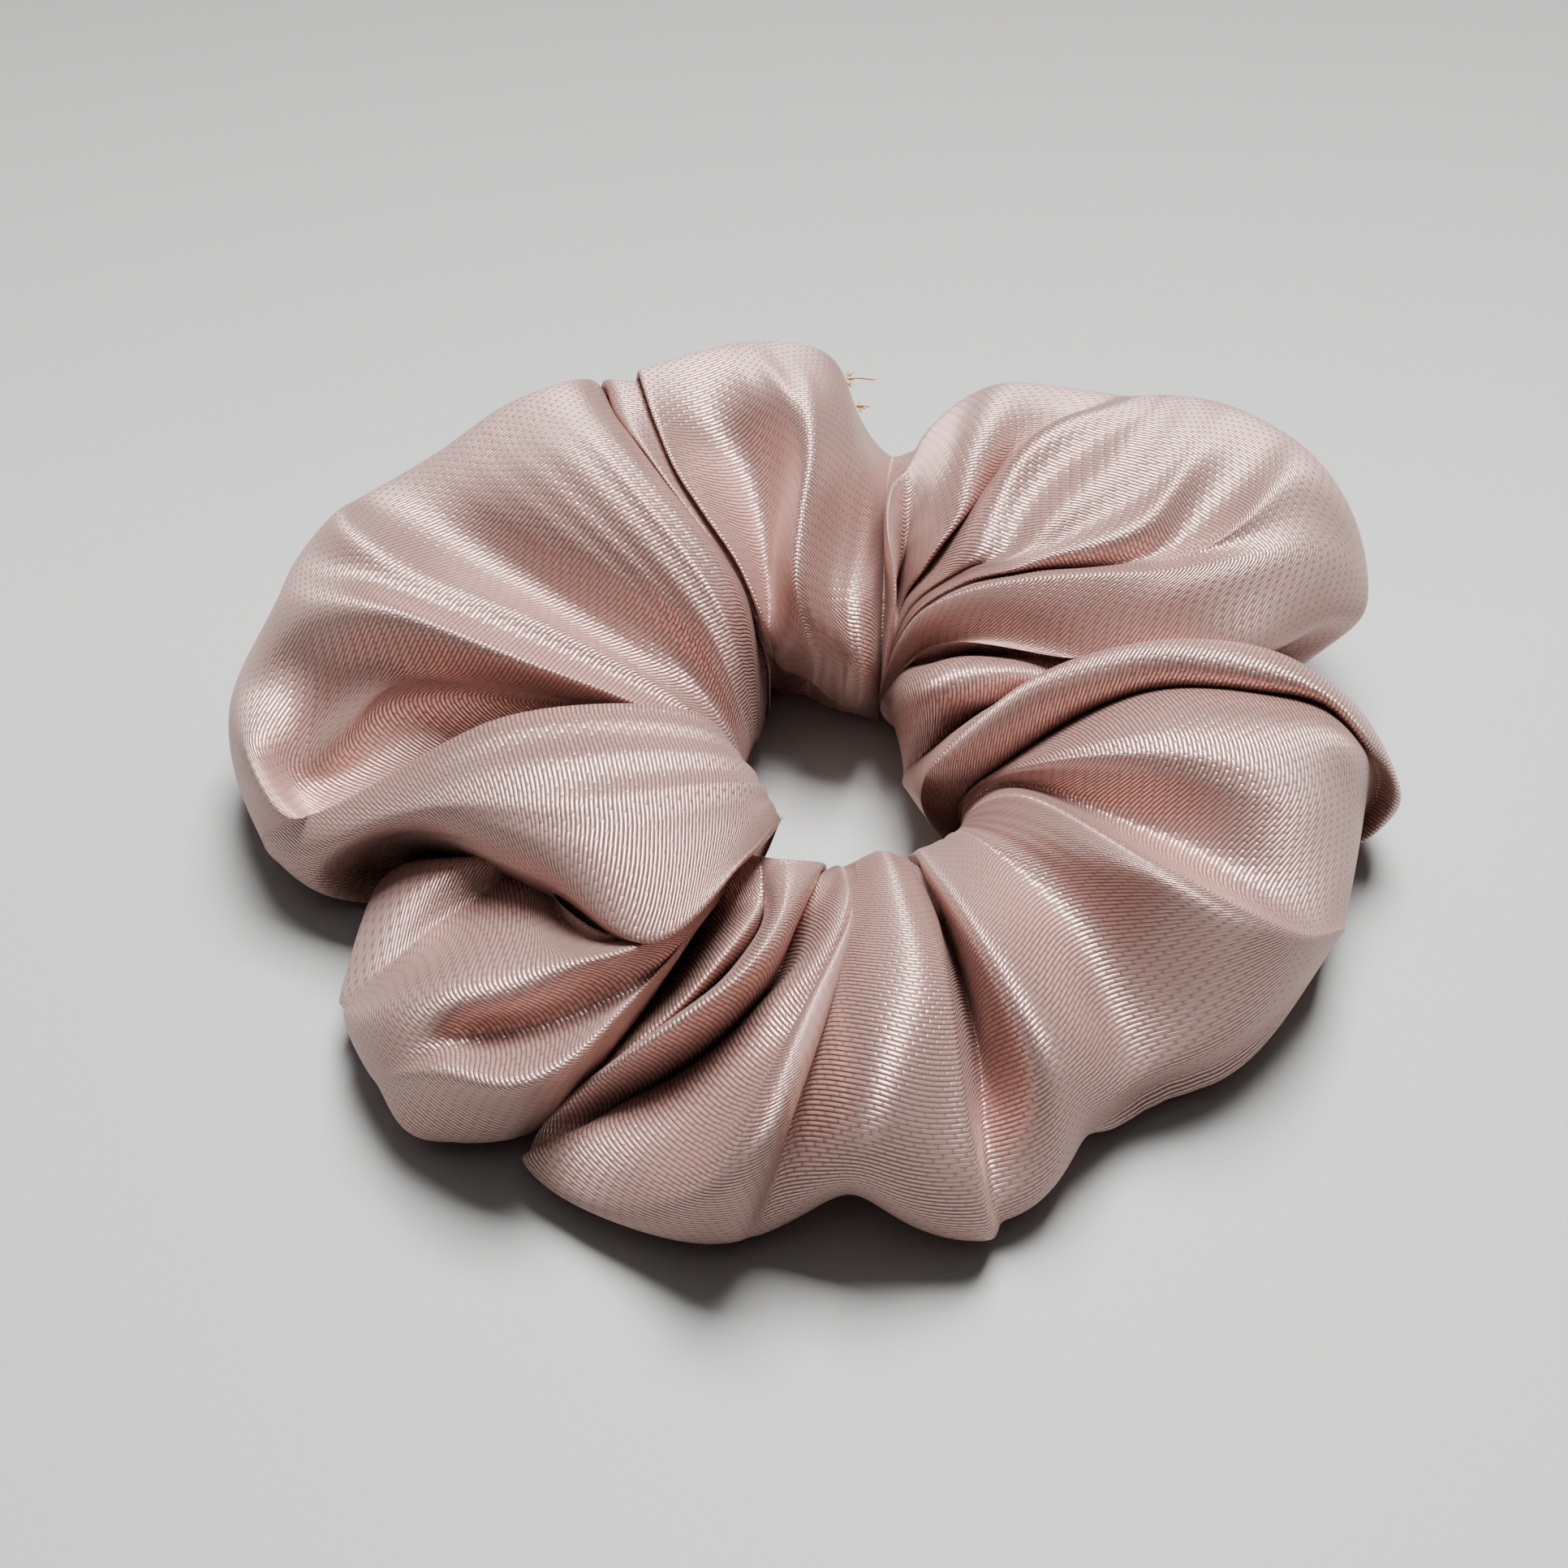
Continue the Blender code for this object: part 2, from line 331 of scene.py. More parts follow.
@dataclass(frozen=True)
class KnitElastic:
    """Flat braided elastic, ribbed along its length."""

    name: str = "braided_elastic"
    light: Colour = (0.82, 0.80, 0.76)
    # The second colour is the painted shade in the grooves of the ribs and the braid.
    groove_shade: Colour = (0.58, 0.56, 0.52)
    rib: float = 0.8
    strands_per_radian: float = 150
    grain_scale: float = 900
    relief: float = 0.12

    def material(self) -> bpy.types.Material:
        """Builds the ribs from the height and the braid from the angle round the ring, with painted shade
        where they are low.

        Returns:
            The material.
        """
        graph = Graph(self.name, Roughness=0.75, Sheen_Weight=0.2)
        place = graph.object_place()
        split = graph.node("ShaderNodeSeparateXYZ", None, {0: place})
        turn = split.out("Y").angle_over(split.out("X"))
        ribs = (split.out("Z") * (math.tau / (self.rib * MM))).sine()
        braid = (turn * self.strands_per_radian + ribs * 1.4).sine()
        height = ribs * 0.3 + braid * 0.2 + 0.5
        # Painted shade: the colour darkens where the ribs and the braid are low.
        graph.feed("Base Color", graph.mix(height, self.groove_shade, self.light))
        graph.feed("Roughness", 0.65 + 0.2 * graph.noise(place, self.grain_scale))
        graph.bump(height, self.relief * MM)
        return graph.material


@dataclass(frozen=True)
class PalePaper:
    """The pale grey sweep under the scrunchie, with painted shade that darkens it towards the back."""

    name: str = "pale_sweep"
    face: Colour = (0.385, 0.385, 0.38)
    # The far colour is painted shade towards the back of the sweep.
    far: Colour = (0.20, 0.195, 0.19)
    painted_shade_from: float = 0.03
    painted_shade_per_metre: float = 6
    grain_scale: float = 900
    relief: float = 0.03

    def material(self) -> bpy.types.Material:
        """Builds a fine paper grain and the painted shade towards the back.

        Returns:
            The material.
        """
        graph = Graph(self.name, Roughness=0.55, Specular_IOR_Level=0.35)
        place = graph.object_place()
        grain = graph.noise(place, self.grain_scale, 4, 0.7)
        away = graph.node("ShaderNodeSeparateXYZ", None, {0: place}).out("Y")
        # Painted shade: the colour goes from face to far with distance back along Y; the grain adds random
        # tone.
        amount = 1.0 - (away - self.painted_shade_from) * self.painted_shade_per_metre + 0.04 * grain
        graph.feed("Base Color", graph.mix(amount, self.far, self.face))
        graph.bump(grain, self.relief * MM)
        return graph.material


# --------------------------------------------------------------------- the cloth


def placed(name: str, data: bpy.types.ID) -> bpy.types.Object:
    """Puts data into the scene.

    Args:
        name: the new object's name.
        data: its mesh, camera or light.

    Returns:
        The object.
    """
    piece = bpy.data.objects.new(name, data)
    bpy.context.scene.collection.objects.link(piece)
    return piece


class Bend(Enum):
    """How the cloth turns at a fold: (share of a free tangent, lift of the underside in mm, softness)."""

    SOFT = (1.0, 0.0, 1.0)
    RIB = (0.75, 0.0, 0.5)
    CREASE = (0.45, 0.4, 0.1)
    HOLLOW = (1.0, 1.8, 1.0)
    GATHER = (0.5, 2.6, 0.1)

    @property
    def roundness(self) -> float:
        """The share of a free curve's tangent that the cloth keeps here."""
        return self.value[0]

    @property
    def lift(self) -> float:
        """How far the underside stands off the table here."""
        return self.value[1]

    @property
    def softness(self) -> float:
        """How far the cloth here evens out with its neighbours."""
        return self.value[2]


@dataclass(frozen=True)
class Fold:
    """One line of the cloth from the hole's edge out over the top to the rim.

    Each point is (angle, reach, height) about the ring's centre. Tuck is how far the cloth draws in
    below the rim, in millimetres.
    """

    name: str
    bend: Bend
    line: tuple[Place, ...]
    tuck: float = 0.0


def fold(name: str, bend: Bend, *line: Place, tuck: float = 0.0) -> Fold:
    """A fold from its points."""
    return Fold(name, bend, line, tuck)


SOFT, RIB, CREASE, HOLLOW, GATHER = Bend

TUCKED_END = (
    fold("raw end, inside", SOFT, (111.1, 20, 2.5), (118.9, 16.8, 13), (112.2, 23, 17.2),
         (110.3, 28.6, 19.8), (110.1, 35.1, 22.4), (110.9, 39.8, 24.2), (110.6, 45, 24.8),
         (110.8, 48.2, 23.6)),
    fold("under the hem", SOFT, (112.2, 20.5, 3.5), (122.6, 16.4, 15.4), (122.7, 20.6, 20.4),
         (123.5, 26, 23.3), (123, 31.8, 25.1), (120.4, 38.9, 25.9), (118.2, 44.8, 25.8),
         (116.8, 48, 24.4)),
)
BACK_LEFT_LOBE = (
    fold("sliver", RIB, (118, 16.5, 5), (122, 19, 17), (125, 32, 25.3), (123, 42, 26.5), (120, 49.5, 25)),
    fold("beside sliver", GATHER, (118, 17, 5), (117, 23, 11), (120, 33, 16), (122, 43, 21),
         (120.5, 51, 23)),
    fold("crest", SOFT, (139, 12, 9), (136, 16, 22), (134, 30, 29), (130, 41, 29), (126.5, 50, 26.5)),
    fold("crown", SOFT, (160, 10.5, 8), (152, 16, 21), (142, 34, 29), (138, 44, 28), (134, 52, 25.5)),
    fold("shoulder", SOFT, (169, 10.7, 8), (157, 17, 18.5), (152, 34, 26), (147, 45.5, 26),
         (142, 53, 23.5)),
    fold("hollow", HOLLOW, (173, 10.8, 8), (169, 15.5, 15.5), (160, 28, 20.7), (155, 42, 23.5),
         (153, 51, 24), (150, 57, 21)),
    fold("sharp rib", RIB, (173, 11, 8), (174, 15.5, 16), (168, 30, 22.7), (165, 44, 25.2),
         (162, 51.5, 25.7), (156, 57.5, 22)),
)
LEFT_LOBE = (
    fold("dip", HOLLOW, (174, 11, 8), (177, 16.5, 16), (172, 30, 21.7), (168, 44, 24.2),
         (164.5, 53, 23.7), (160, 59.5, 19.5)),
    fold("ridge", SOFT, (175, 11, 8), (183, 17.5, 17.5), (179, 31, 24), (174, 43.5, 26),
         (171.5, 51, 24.5), (166, 58.5, 19.5)),
    fold("bowl, far", SOFT, (173.7, 11.5, 8), (171.3, 15.1, 13), (173.4, 21.3, 15.2), (175.8, 28.9, 17.6),
         (176.1, 36.7, 19.2), (175.6, 44.7, 19.4), (175.3, 52.6, 17.5), (174.1, 58.3, 17),
         (169.4, 62, 13)),
    fold("bowl, ridge", SOFT, (173.7, 11.5, 8), (166.9, 15.6, 12), (170.4, 21.9, 14), (173.7, 29.9, 15.7),
         (175.8, 37.7, 17.3), (178.1, 44.6, 17.2), (181.9, 48.4, 15.5), (182.3, 52.9, 13.3),
         (183.9, 56.7, 17), (175.5, 61.9, 12)),
    fold("bowl, floor", HOLLOW, (173.1, 11.4, 8), (165.4, 15.7, 11.8), (169.9, 22.4, 13.3),
         (175.2, 30.4, 14.2), (178.2, 38.6, 14.4), (180.5, 44.8, 13.8), (183.3, 49.5, 12.3),
         (184.2, 53.3, 11.7), (186.6, 56.4, 16), (180.4, 60.5, 11)),
    fold("bowl, near", HOLLOW, (172.5, 11.4, 8), (168.4, 15.3, 12.8), (173.6, 22.1, 14.3),
         (179.9, 30.1, 15), (184, 38.3, 14.4), (186.3, 45.4, 12.6), (188.4, 49.1, 11.5),
         (188.9, 51.5, 11.2), (190.3, 54.9, 14.5), (186.1, 58.2, 9.5)),
    fold("flap crest", RIB, (176, 11, 9), (190, 15, 18.5), (195, 33, 23.5), (193, 45, 18), (192, 52, 14),
         (189, 56.8, 8.5)),
    fold("flap", SOFT, (197, 9.6, 10), (214, 15, 19.5), (209, 31, 25), (198, 44, 18.5), (195, 51, 12.5),
         (193, 54, 7.5)),
    fold("flap, front", SOFT, (215, 9.5, 10), (233, 18, 19.5), (224, 32.5, 24), (202, 41, 18.5),
         (195, 48, 12), (193, 51, 6.5)),
    fold("flap, lip", CREASE, (230, 10.8, 11), (242, 21, 18.5), (238, 35, 21), (217, 36, 18.5),
         (195, 43.5, 12), (190, 47.9, 5)),
    fold("pocket", GATHER, (228, 10.4, 10), (242, 20.5, 16.5), (235, 34, 16), (207, 33.5, 7),
         (189, 41.5, 3.5), (189, 45, 2.5)),
)
LOWER_LEFT_LOBE = (
    fold("back edge", RIB, (230, 17.2, 10), (239.2, 28.9, 16.5), (234.1, 35.9, 18.2), (224.5, 36, 17),
         (209.3, 35.3, 14.5), (202.9, 40.3, 13), (198.7, 45.3, 10), (196.9, 48.1, 6.5)),
    fold("edge crease", CREASE, (230.7, 17.3, 10), (239, 28.7, 16), (234.5, 36, 17.8), (226.1, 36.5, 16),
         (209.7, 34.3, 13.3), (209.8, 39, 12.6), (209.8, 44, 11.8), (210.5, 49.3, 10), (209.9, 52.7, 7.5),
         (208.2, 54, 5.5)),
    fold("plane", SOFT, (231.5, 17.4, 10), (239.9, 29.1, 16.5), (236.6, 36.8, 19), (230.8, 39.4, 18.2),
         (219, 38.9, 15), (217.1, 43.3, 14.7), (216.9, 48.3, 14.2), (214.9, 52.7, 11),
         (210.8, 54.4, 6.5)),
    fold("upper ridge", SOFT, (232.7, 17.3, 10), (241, 29.5, 17), (238.4, 37.7, 19.8),
         (233.6, 41.5, 19.5), (228.2, 45, 18.5), (224.1, 49.6, 17.5), (220, 53.4, 14.5),
         (216.4, 55.2, 10), (213.5, 55.3, 6.5)),
    fold("brow", SOFT, (231.5, 16.8, 9), (241.1, 29.4, 16.5), (239.2, 37.4, 19), (235.3, 40.9, 18.5),
         (232, 45.1, 17.7), (227.7, 49.5, 17), (225.3, 52.5, 15.5), (222, 55.1, 12), (217.4, 55.9, 6.5)),
    fold("dish", HOLLOW, (232.3, 16.8, 9), (241, 28.8, 15), (240.1, 36.5, 15.7), (235.3, 40.7, 14),
         (231.2, 43.9, 12.7), (227.4, 48, 12.3), (226.2, 52.1, 13.5), (223.9, 55.2, 11.5),
         (219.6, 56.1, 6.5)),
    fold("lower ridge", SOFT, (233.4, 16.9, 9), (239.4, 26.6, 15.5), (241.3, 32.8, 16.5),
         (240.3, 40.8, 17), (238.7, 47.5, 17), (235.8, 51.8, 16.5), (231.5, 53.9, 15.5),
         (227, 55.2, 12.5), (221.8, 56.4, 6.5)),
    fold("lower brow", SOFT, (232.1, 16.3, 8), (239.5, 26.5, 14.5), (240.9, 33.2, 15), (240, 41.1, 15),
         (238.7, 47.3, 14.5), (235.1, 51.5, 13), (230.7, 53.5, 11), (227.3, 55, 8.5), (223.9, 56.8, 4.5)),
    fold("lower edge", SOFT, (233, 16.3, 8), (239.2, 26, 13.5), (239.7, 33, 13), (239.3, 39.9, 12),
         (238.2, 45, 10.5), (236.1, 48.9, 8), (233, 52.2, 5.5), (230, 54.2, 4.2), (227.1, 55.6, 3.5)),
)
TIGHT_FOLDS = (
    fold("black gap", GATHER, (229, 14.8, 8), (231.3, 20.1, 9), (234.2, 25.9, 7), (235.7, 33.2, 6.5),
         (235.8, 39.5, 6), (234.8, 44.6, 5), (234, 46.3, 3.5)),
    fold("strip", SOFT, (233.3, 15.3, 9), (242.9, 23.9, 12.5), (243.4, 33, 12.5), (241, 39.1, 11.5),
         (238.6, 43.2, 9.5), (236.1, 45.8, 6.5), (234.4, 46.9, 4)),
    fold("thin roll", RIB, (235.2, 15.2, 9), (247.6, 24.6, 14), (247, 32.1, 14.8), (243.8, 38.7, 13.3),
         (240.2, 43, 10.8), (236.6, 46, 7), (234.4, 47.1, 4)),
    fold("thin gap", GATHER, (237.1, 15.1, 9), (248.7, 24.1, 12), (246, 30.2, 10.5), (242.9, 36.4, 10),
         (239.7, 41.3, 9), (236.4, 45.5, 6.5), (234.4, 47.6, 4)),
    fold("bright roll", SOFT, (243.2, 16.8, 12), (255.2, 28.9, 19), (253.2, 36.7, 19.7),
         (248.4, 41.8, 18.2), (243.5, 45.4, 15), (239.1, 47.7, 11), (235.8, 49.3, 6)),
    fold("ear", RIB, (259.1, 15, 11.5), (259.1, 24.3, 16.8), (257, 31.7, 17), (252.7, 36.1, 13.5),
         (247.5, 40.1, 10.5), (242.5, 44.1, 8.5), (238.3, 48.2, 7), (235.1, 50, 4.5)),
    fold("deep gap", GATHER, (259.9, 14.3, 9.5), (257.8, 21.5, 12), (256.2, 28.5, 11.5),
         (250.7, 33.9, 7.5), (247, 37.8, 6.8), (242.9, 43.3, 7), (239.1, 49.3, 6.3), (235.8, 51.5, 4.5)),
)
FRONT_LOBE = (
    fold("roll flank", SOFT, (263.7, 14.8, 11), (266.6, 23.1, 16.8), (263.3, 30.4, 17.3),
         (257.8, 35.4, 16), (254.1, 38.9, 13.8), (249.6, 43.6, 11.5), (243.3, 49.4, 9.5),
         (237.7, 51.8, 6.5), (236, 52.4, 4)),
    fold("flank", HOLLOW, (266.1, 14.7, 10.5), (268.5, 24.3, 16), (264.2, 32.1, 16), (259.1, 39.4, 14.3),
         (255, 44.9, 12.5), (250, 50.1, 10), (244.4, 52.9, 6.5), (240.2, 53.6, 4)),
    fold("ridge", SOFT, (268.5, 14.1, 10.5), (268.5, 26.2, 17), (263, 38.6, 19.5), (260.8, 49.5, 20.5),
         (258.5, 54, 16), (256.9, 54.7, 10), (255.8, 53.6, 4)),
    fold("slope", SOFT, (271.6, 13.9, 11), (270.6, 26.6, 17.5), (266.4, 39.3, 19.5), (264, 48.6, 18),
         (261.8, 51.9, 12), (259.9, 52.3, 6), (259.5, 51.7, 4)),
    fold("shallow", HOLLOW, (265, 14.3, 10), (269, 24.3, 16), (266, 38, 18), (262, 48, 13.5),
         (261, 51.3, 7.5), (261, 51, 3.5)),
    fold("broad, left", SOFT, (271, 13.2, 10), (272, 24.3, 17), (269, 39, 20.7), (267.5, 48.5, 17),
         (267, 51, 11.5), (267, 48.7, 6)),
    fold("broad", SOFT, (279, 13, 11), (276, 24.3, 18), (274, 39.5, 22.3), (271.5, 49, 19.5),
         (270, 51, 13), (270, 48.3, 7.5)),
    fold("broad, right", SOFT, (285, 13.5, 11), (282, 24.2, 17.5), (279, 39.5, 21.5), (276.5, 48.8, 16.5),
         (275, 52, 9), (276, 51.3, 4)),
    fold("edge rib", CREASE, (290, 13.4, 10), (285, 25.7, 16.5), (281, 39.5, 20.3), (280, 48.5, 16),
         (281, 52.5, 8.5), (282, 52.3, 4)),
    fold("pink valley", GATHER, (293, 12.7, 9), (290, 23.3, 12), (286, 38, 13.5), (284, 47, 10.5),
         (284, 50.5, 6.5), (285, 50.5, 3.5)),
    fold("valley flank", SOFT, (295, 12.7, 9), (290, 24, 14.5), (287, 39, 16.8), (288, 48, 12),
         (289.5, 50.2, 7.5), (290, 49.8, 4)),
    fold("bright ridge", SOFT, (296, 13.3, 10), (289, 23.6, 17.5), (288, 36.5, 21.7), (290, 45, 19),
         (293, 47.3, 12.5), (295.5, 46.5, 6.5)),
)
FRONT_RIGHT_LOBE = (
    fold("left", SOFT, (306, 13.5, 10), (296, 23, 18), (294.5, 35, 20.7), (297, 43.5, 16),
         (298.5, 46.3, 9.5), (300, 45.3, 5), tuck=-3.5),
    fold("shallow", HOLLOW, (315, 13.8, 10), (305, 22.3, 18), (304.5, 33, 18.8), (304, 41.5, 13.5),
         (305, 45.2, 9), (308, 44.7, 5), tuck=-3.5),
    fold("plateau", SOFT, (319, 13.7, 10), (312, 21, 18.5), (310, 33, 22.5), (312, 43, 18),
         (315, 48.3, 10.5), (317, 48.2, 6), tuck=-3.5),
    fold("ridge", RIB, (324, 13.4, 10), (321, 19.3, 18.5), (315.5, 37.5, 24), (319, 44.5, 21.5),
         (325, 48.6, 16), (334, 50, 9)),
    fold("hollow", HOLLOW, (333, 12.5, 9), (336, 16.4, 14), (328.5, 32, 18), (327.5, 42, 18),
         (331, 48, 14.5), (338, 50, 8.5)),
)
RIGHT_LOBE = (
    fold("hollow flank", SOFT, (335, 12.3, 9), (335, 16.3, 15), (332.5, 32, 19.7), (332.5, 42.5, 19.3),
         (338, 48.7, 14), (343, 49.8, 8)),
    fold("broad", SOFT, (338, 12, 9), (337, 16.5, 16), (338, 31, 23.3), (341, 42, 22), (347, 48.5, 16),
         (353, 50.4, 8)),
    fold("crest", SOFT, (337, 11.7, 9), (341, 15.8, 15.5), (351, 29, 23), (351, 41, 23),
         (350.5, 47.5, 20.5), (355, 50.7, 12)),
    fold("groove", GATHER, (341.2, 11.3, 8), (347.5, 15.2, 14), (358.1, 22.6, 18.3), (0.8, 29.3, 19.9),
         (359.3, 38.5, 20.4), (357.6, 45.2, 19.6), (354.7, 48.9, 17.2), (356.4, 51.8, 11)),
    fold("roll's near side", SOFT, (337, 10.5, 8.5), (340.2, 15.1, 16.2), (352.6, 22.3, 20.7),
         (356.9, 28.9, 22.1), (356.5, 38, 22.5), (355.8, 44.9, 21.4), (353.1, 49.1, 18.8),
         (355, 52.1, 12.3)),
    fold("rolled edge", SOFT, (333, 8.5, 9), (331, 11.5, 16), (352.1, 17.7, 22.3), (1, 26.2, 24),
         (1.7, 34, 24.2), (359.9, 41.8, 23), (356, 48.4, 19.8), (353.2, 53, 12.5)),
    fold("behind roll", SOFT, (318, 9.5, 11), (337, 9.5, 16), (9, 24, 20.5), (8.5, 41, 19),
         (5.5, 49.6, 14), (0, 54.3, 8)),
)
LOOPS = (
    fold("dimple", GATHER, (359, 5.5, 8), (3.4, 8.6, 14), (12.5, 13.4, 15.2), (15.8, 20.3, 16),
         (18, 30.2, 15.5), (17.6, 38.2, 14.5), (20.2, 46.4, 9)),
    fold("inner loop", RIB, (20, 6, 8), (10, 7, 16), (3, 9.8, 19.2), (7.5, 14.1, 18.2), (14.2, 20, 16.8),
         (17, 30, 15.8), (17.5, 39.1, 14), (20.4, 45.4, 9.5)),
    fold("near loop", SOFT, (50, 8, 8), (28, 7, 17), (12, 10, 21), (9.8, 15.3, 20.5), (12.5, 20.6, 18),
         (15.7, 29.6, 16.5), (16.8, 38.8, 14.5), (20, 45.2, 10)),
    fold("between", GATHER, (70.4, 11, 7), (61.9, 12, 12), (43, 13.6, 15.2), (31.2, 17.5, 16),
         (23, 22.3, 16.5), (19.6, 30.6, 15.5), (18.7, 39.6, 13.5), (20.8, 46.5, 9)),
    fold("far loop", SOFT, (71.1, 11.5, 7), (55.3, 11.4, 16), (34, 12, 20.5), (23.2, 16.2, 20.5),
         (19.9, 21.5, 19), (17, 29.8, 17.5), (16.3, 38.6, 15.5), (19.9, 46.1, 10)),
)
BACK_RIGHT_LOBE = (
    fold("underside", HOLLOW, (70.3, 11.5, 7), (56, 13.3, 14.5), (35.4, 15.2, 18.5), (14.6, 23.2, 19.5),
         (9.9, 30.7, 20), (9.4, 38.9, 19), (13.7, 44.3, 15.5), (19, 49.1, 12), tuck=8),
    fold("under slope", SOFT, (71.1, 11.7, 7), (57.4, 12.9, 16.5), (37, 15.4, 21), (18.3, 23.5, 23),
         (13.5, 30.9, 23.7), (14.1, 39.6, 22), (16.4, 47.8, 18.5), (18.2, 54.2, 13.5), tuck=10),
    fold("front rib", RIB, (72.2, 11.9, 7), (61.7, 13.7, 18), (41.8, 16.4, 23), (23.9, 24.4, 25.5),
         (17.5, 31.4, 26.5), (17.7, 40.1, 26), (21, 51, 22.5), (21.3, 56.5, 17), (20.7, 57.7, 13),
         tuck=9),
    fold("front dip", HOLLOW, (72.6, 13.9, 6), (64.6, 14.7, 16.5), (47.5, 16.6, 22.1), (34.6, 20.8, 24.4),
         (26, 26.7, 25.2), (22.1, 33.7, 25.8), (23.6, 42.4, 26.1), (27.5, 51.4, 25.1), (27.6, 56.3, 23),
         (27.6, 59.8, 19), tuck=6),
    fold("front brow", SOFT, (72.6, 13.9, 6), (65, 14.9, 16.5), (48.1, 17, 22.1), (36.5, 21.4, 24),
         (27.8, 27.5, 24.9), (22.5, 33.4, 26.1), (21.2, 37.9, 27.1), (23.5, 42.1, 27.5), (27.3, 47.5, 27),
         (32.4, 56.4, 24.5), (32.4, 59.9, 20.5)),
    fold("middle dip", HOLLOW, (72.7, 14, 6), (65.7, 15.4, 16.4), (49.7, 17.7, 21.8), (38.6, 21.4, 23.4),
         (29.3, 28.3, 24.2), (27.5, 33.1, 24.7), (28.6, 37.4, 25), (30.4, 41.7, 25.6), (31.4, 45, 26),
         (33.6, 49.7, 26.3), (37.2, 56.7, 24.5), (37.2, 60.2, 20.5)),
    fold("middle rib", SOFT, (72.7, 14, 6), (65.3, 15, 17), (48.5, 17.3, 22.8), (36.2, 20, 25.4),
         (32.9, 23.2, 26.5), (30, 26.6, 27.2), (28.4, 30.4, 27.8), (29.1, 33.9, 28.2), (31.6, 37.3, 28.3),
         (34.4, 41.3, 28.3), (37.1, 46.2, 27.9), (41.7, 55.3, 25.5), (41.7, 58.8, 21.5)),
    fold("saddle", HOLLOW, (72.8, 14.1, 6), (66.3, 15.7, 16.7), (51.6, 18.6, 21.9), (41.7, 20.8, 24.4),
         (38.5, 25, 25.2), (37.4, 29.6, 25.9), (36.8, 33.6, 26.4), (37.3, 38, 27.1), (39.2, 42.3, 27.6),
         (41.7, 47.4, 27.4), (45.9, 54.6, 25), (45.9, 58.1, 21)),
    fold("upper brow", SOFT, (73, 14.2, 6), (66.5, 15.8, 17), (52.4, 18.6, 22.3), (42.6, 20.6, 25.1),
         (39.5, 23.3, 26.7), (40.5, 27, 27.5), (41.5, 31.4, 28.1), (42.4, 35.7, 28.6), (43.8, 40, 28.8),
         (45.7, 46.3, 28), (48.3, 52.5, 25.5), (48.3, 56, 21.5)),
    fold("upper dip", HOLLOW, (72.8, 14.3, 6), (68, 16.8, 16.5), (55, 19.6, 21.7), (46.9, 21.5, 23.8),
         (47.1, 24, 24.5), (49.1, 27.2, 25.3), (50, 31.7, 26.1), (49.3, 36.2, 26.9), (48.5, 40.6, 27.5),
         (48, 45.9, 27.4), (50.3, 52, 25), (50.3, 55.5, 21)),
    fold("back rib", SOFT, (72.9, 14.5, 6), (68.2, 16.7, 17), (55.8, 18.3, 22), (51.3, 20.5, 24.8),
         (52.6, 24.6, 26.3), (53.7, 28.5, 27.4), (54, 33.1, 28.3), (53, 37.7, 28.7), (51.5, 42.8, 28.2),
         (51.3, 50.4, 25.5), (51.3, 53.9, 21.5)),
    fold("back valley", GATHER, (73, 14.6, 6), (71.7, 19.4, 15.5), (65.5, 21.6, 19.3), (62.1, 24.8, 22),
         (60.5, 29.2, 24), (59.5, 33.9, 25.5), (57.4, 39.1, 26.3), (55, 44.9, 26), (54.5, 51.4, 23.6),
         (54.5, 54.9, 19.6)),
    fold("bump, near", HOLLOW, (73, 14.6, 6), (71.9, 19, 15.5), (67.5, 20.6, 18.8), (64, 23.1, 21.4),
         (61.8, 27, 23.2), (61.8, 31.5, 24.8), (61.8, 36.1, 25.8), (61.7, 41.5, 25.9), (62.6, 48.3, 24),
         (62.6, 51.8, 20)),
    fold("narrow rib", SOFT, (73.3, 14.8, 6), (72.3, 18.9, 15.5), (68.5, 19.1, 19), (65.5, 20.5, 21.5),
         (62.7, 22.4, 23.4), (61.8, 24.4, 25), (63.1, 27.2, 26.1), (64.4, 31.1, 26.9), (65, 36.3, 27.1),
         (67, 46.6, 24.5), (67, 50.1, 20.5)),
    fold("narrow dip", HOLLOW, (73.7, 14.9, 6), (74.1, 20.3, 14.7), (72.1, 21, 17.9), (70.4, 22.7, 20.4),
         (69.7, 25.2, 22.2), (69.6, 27.8, 23.8), (70.2, 30.8, 24.9), (70.5, 35, 25.5), (71.2, 44.7, 23.5),
         (71.2, 48.2, 19.5)),
    fold("small rib", SOFT, (73.7, 14.9, 6), (74.6, 20.3, 15), (72.8, 20.7, 18.6), (71.3, 21.7, 21.4),
         (71.2, 23.8, 23.3), (71.9, 26.2, 24.8), (73.1, 29.6, 25.2), (74, 34.4, 24.8), (74.7, 41, 23),
         (74.7, 44.5, 19)),
    fold("small dip", HOLLOW, (73.3, 14.6, 6), (76.2, 21.5, 14.5), (75.3, 22.1, 17.9), (75.4, 23.7, 20.3),
         (76, 25.8, 22.1), (76.6, 27.7, 23.3), (77, 30.9, 23.5), (77.4, 36.5, 22.1), (77.4, 40, 18.1)),
    fold("turned rim", RIB, (75.4, 13.7, 4), (69.2, 11.2, 15), (69.6, 13.8, 22), (77, 19.1, 25),
         (79.2, 25.9, 25), (77.3, 34.6, 21.5), (77, 44.2, 16)),
)
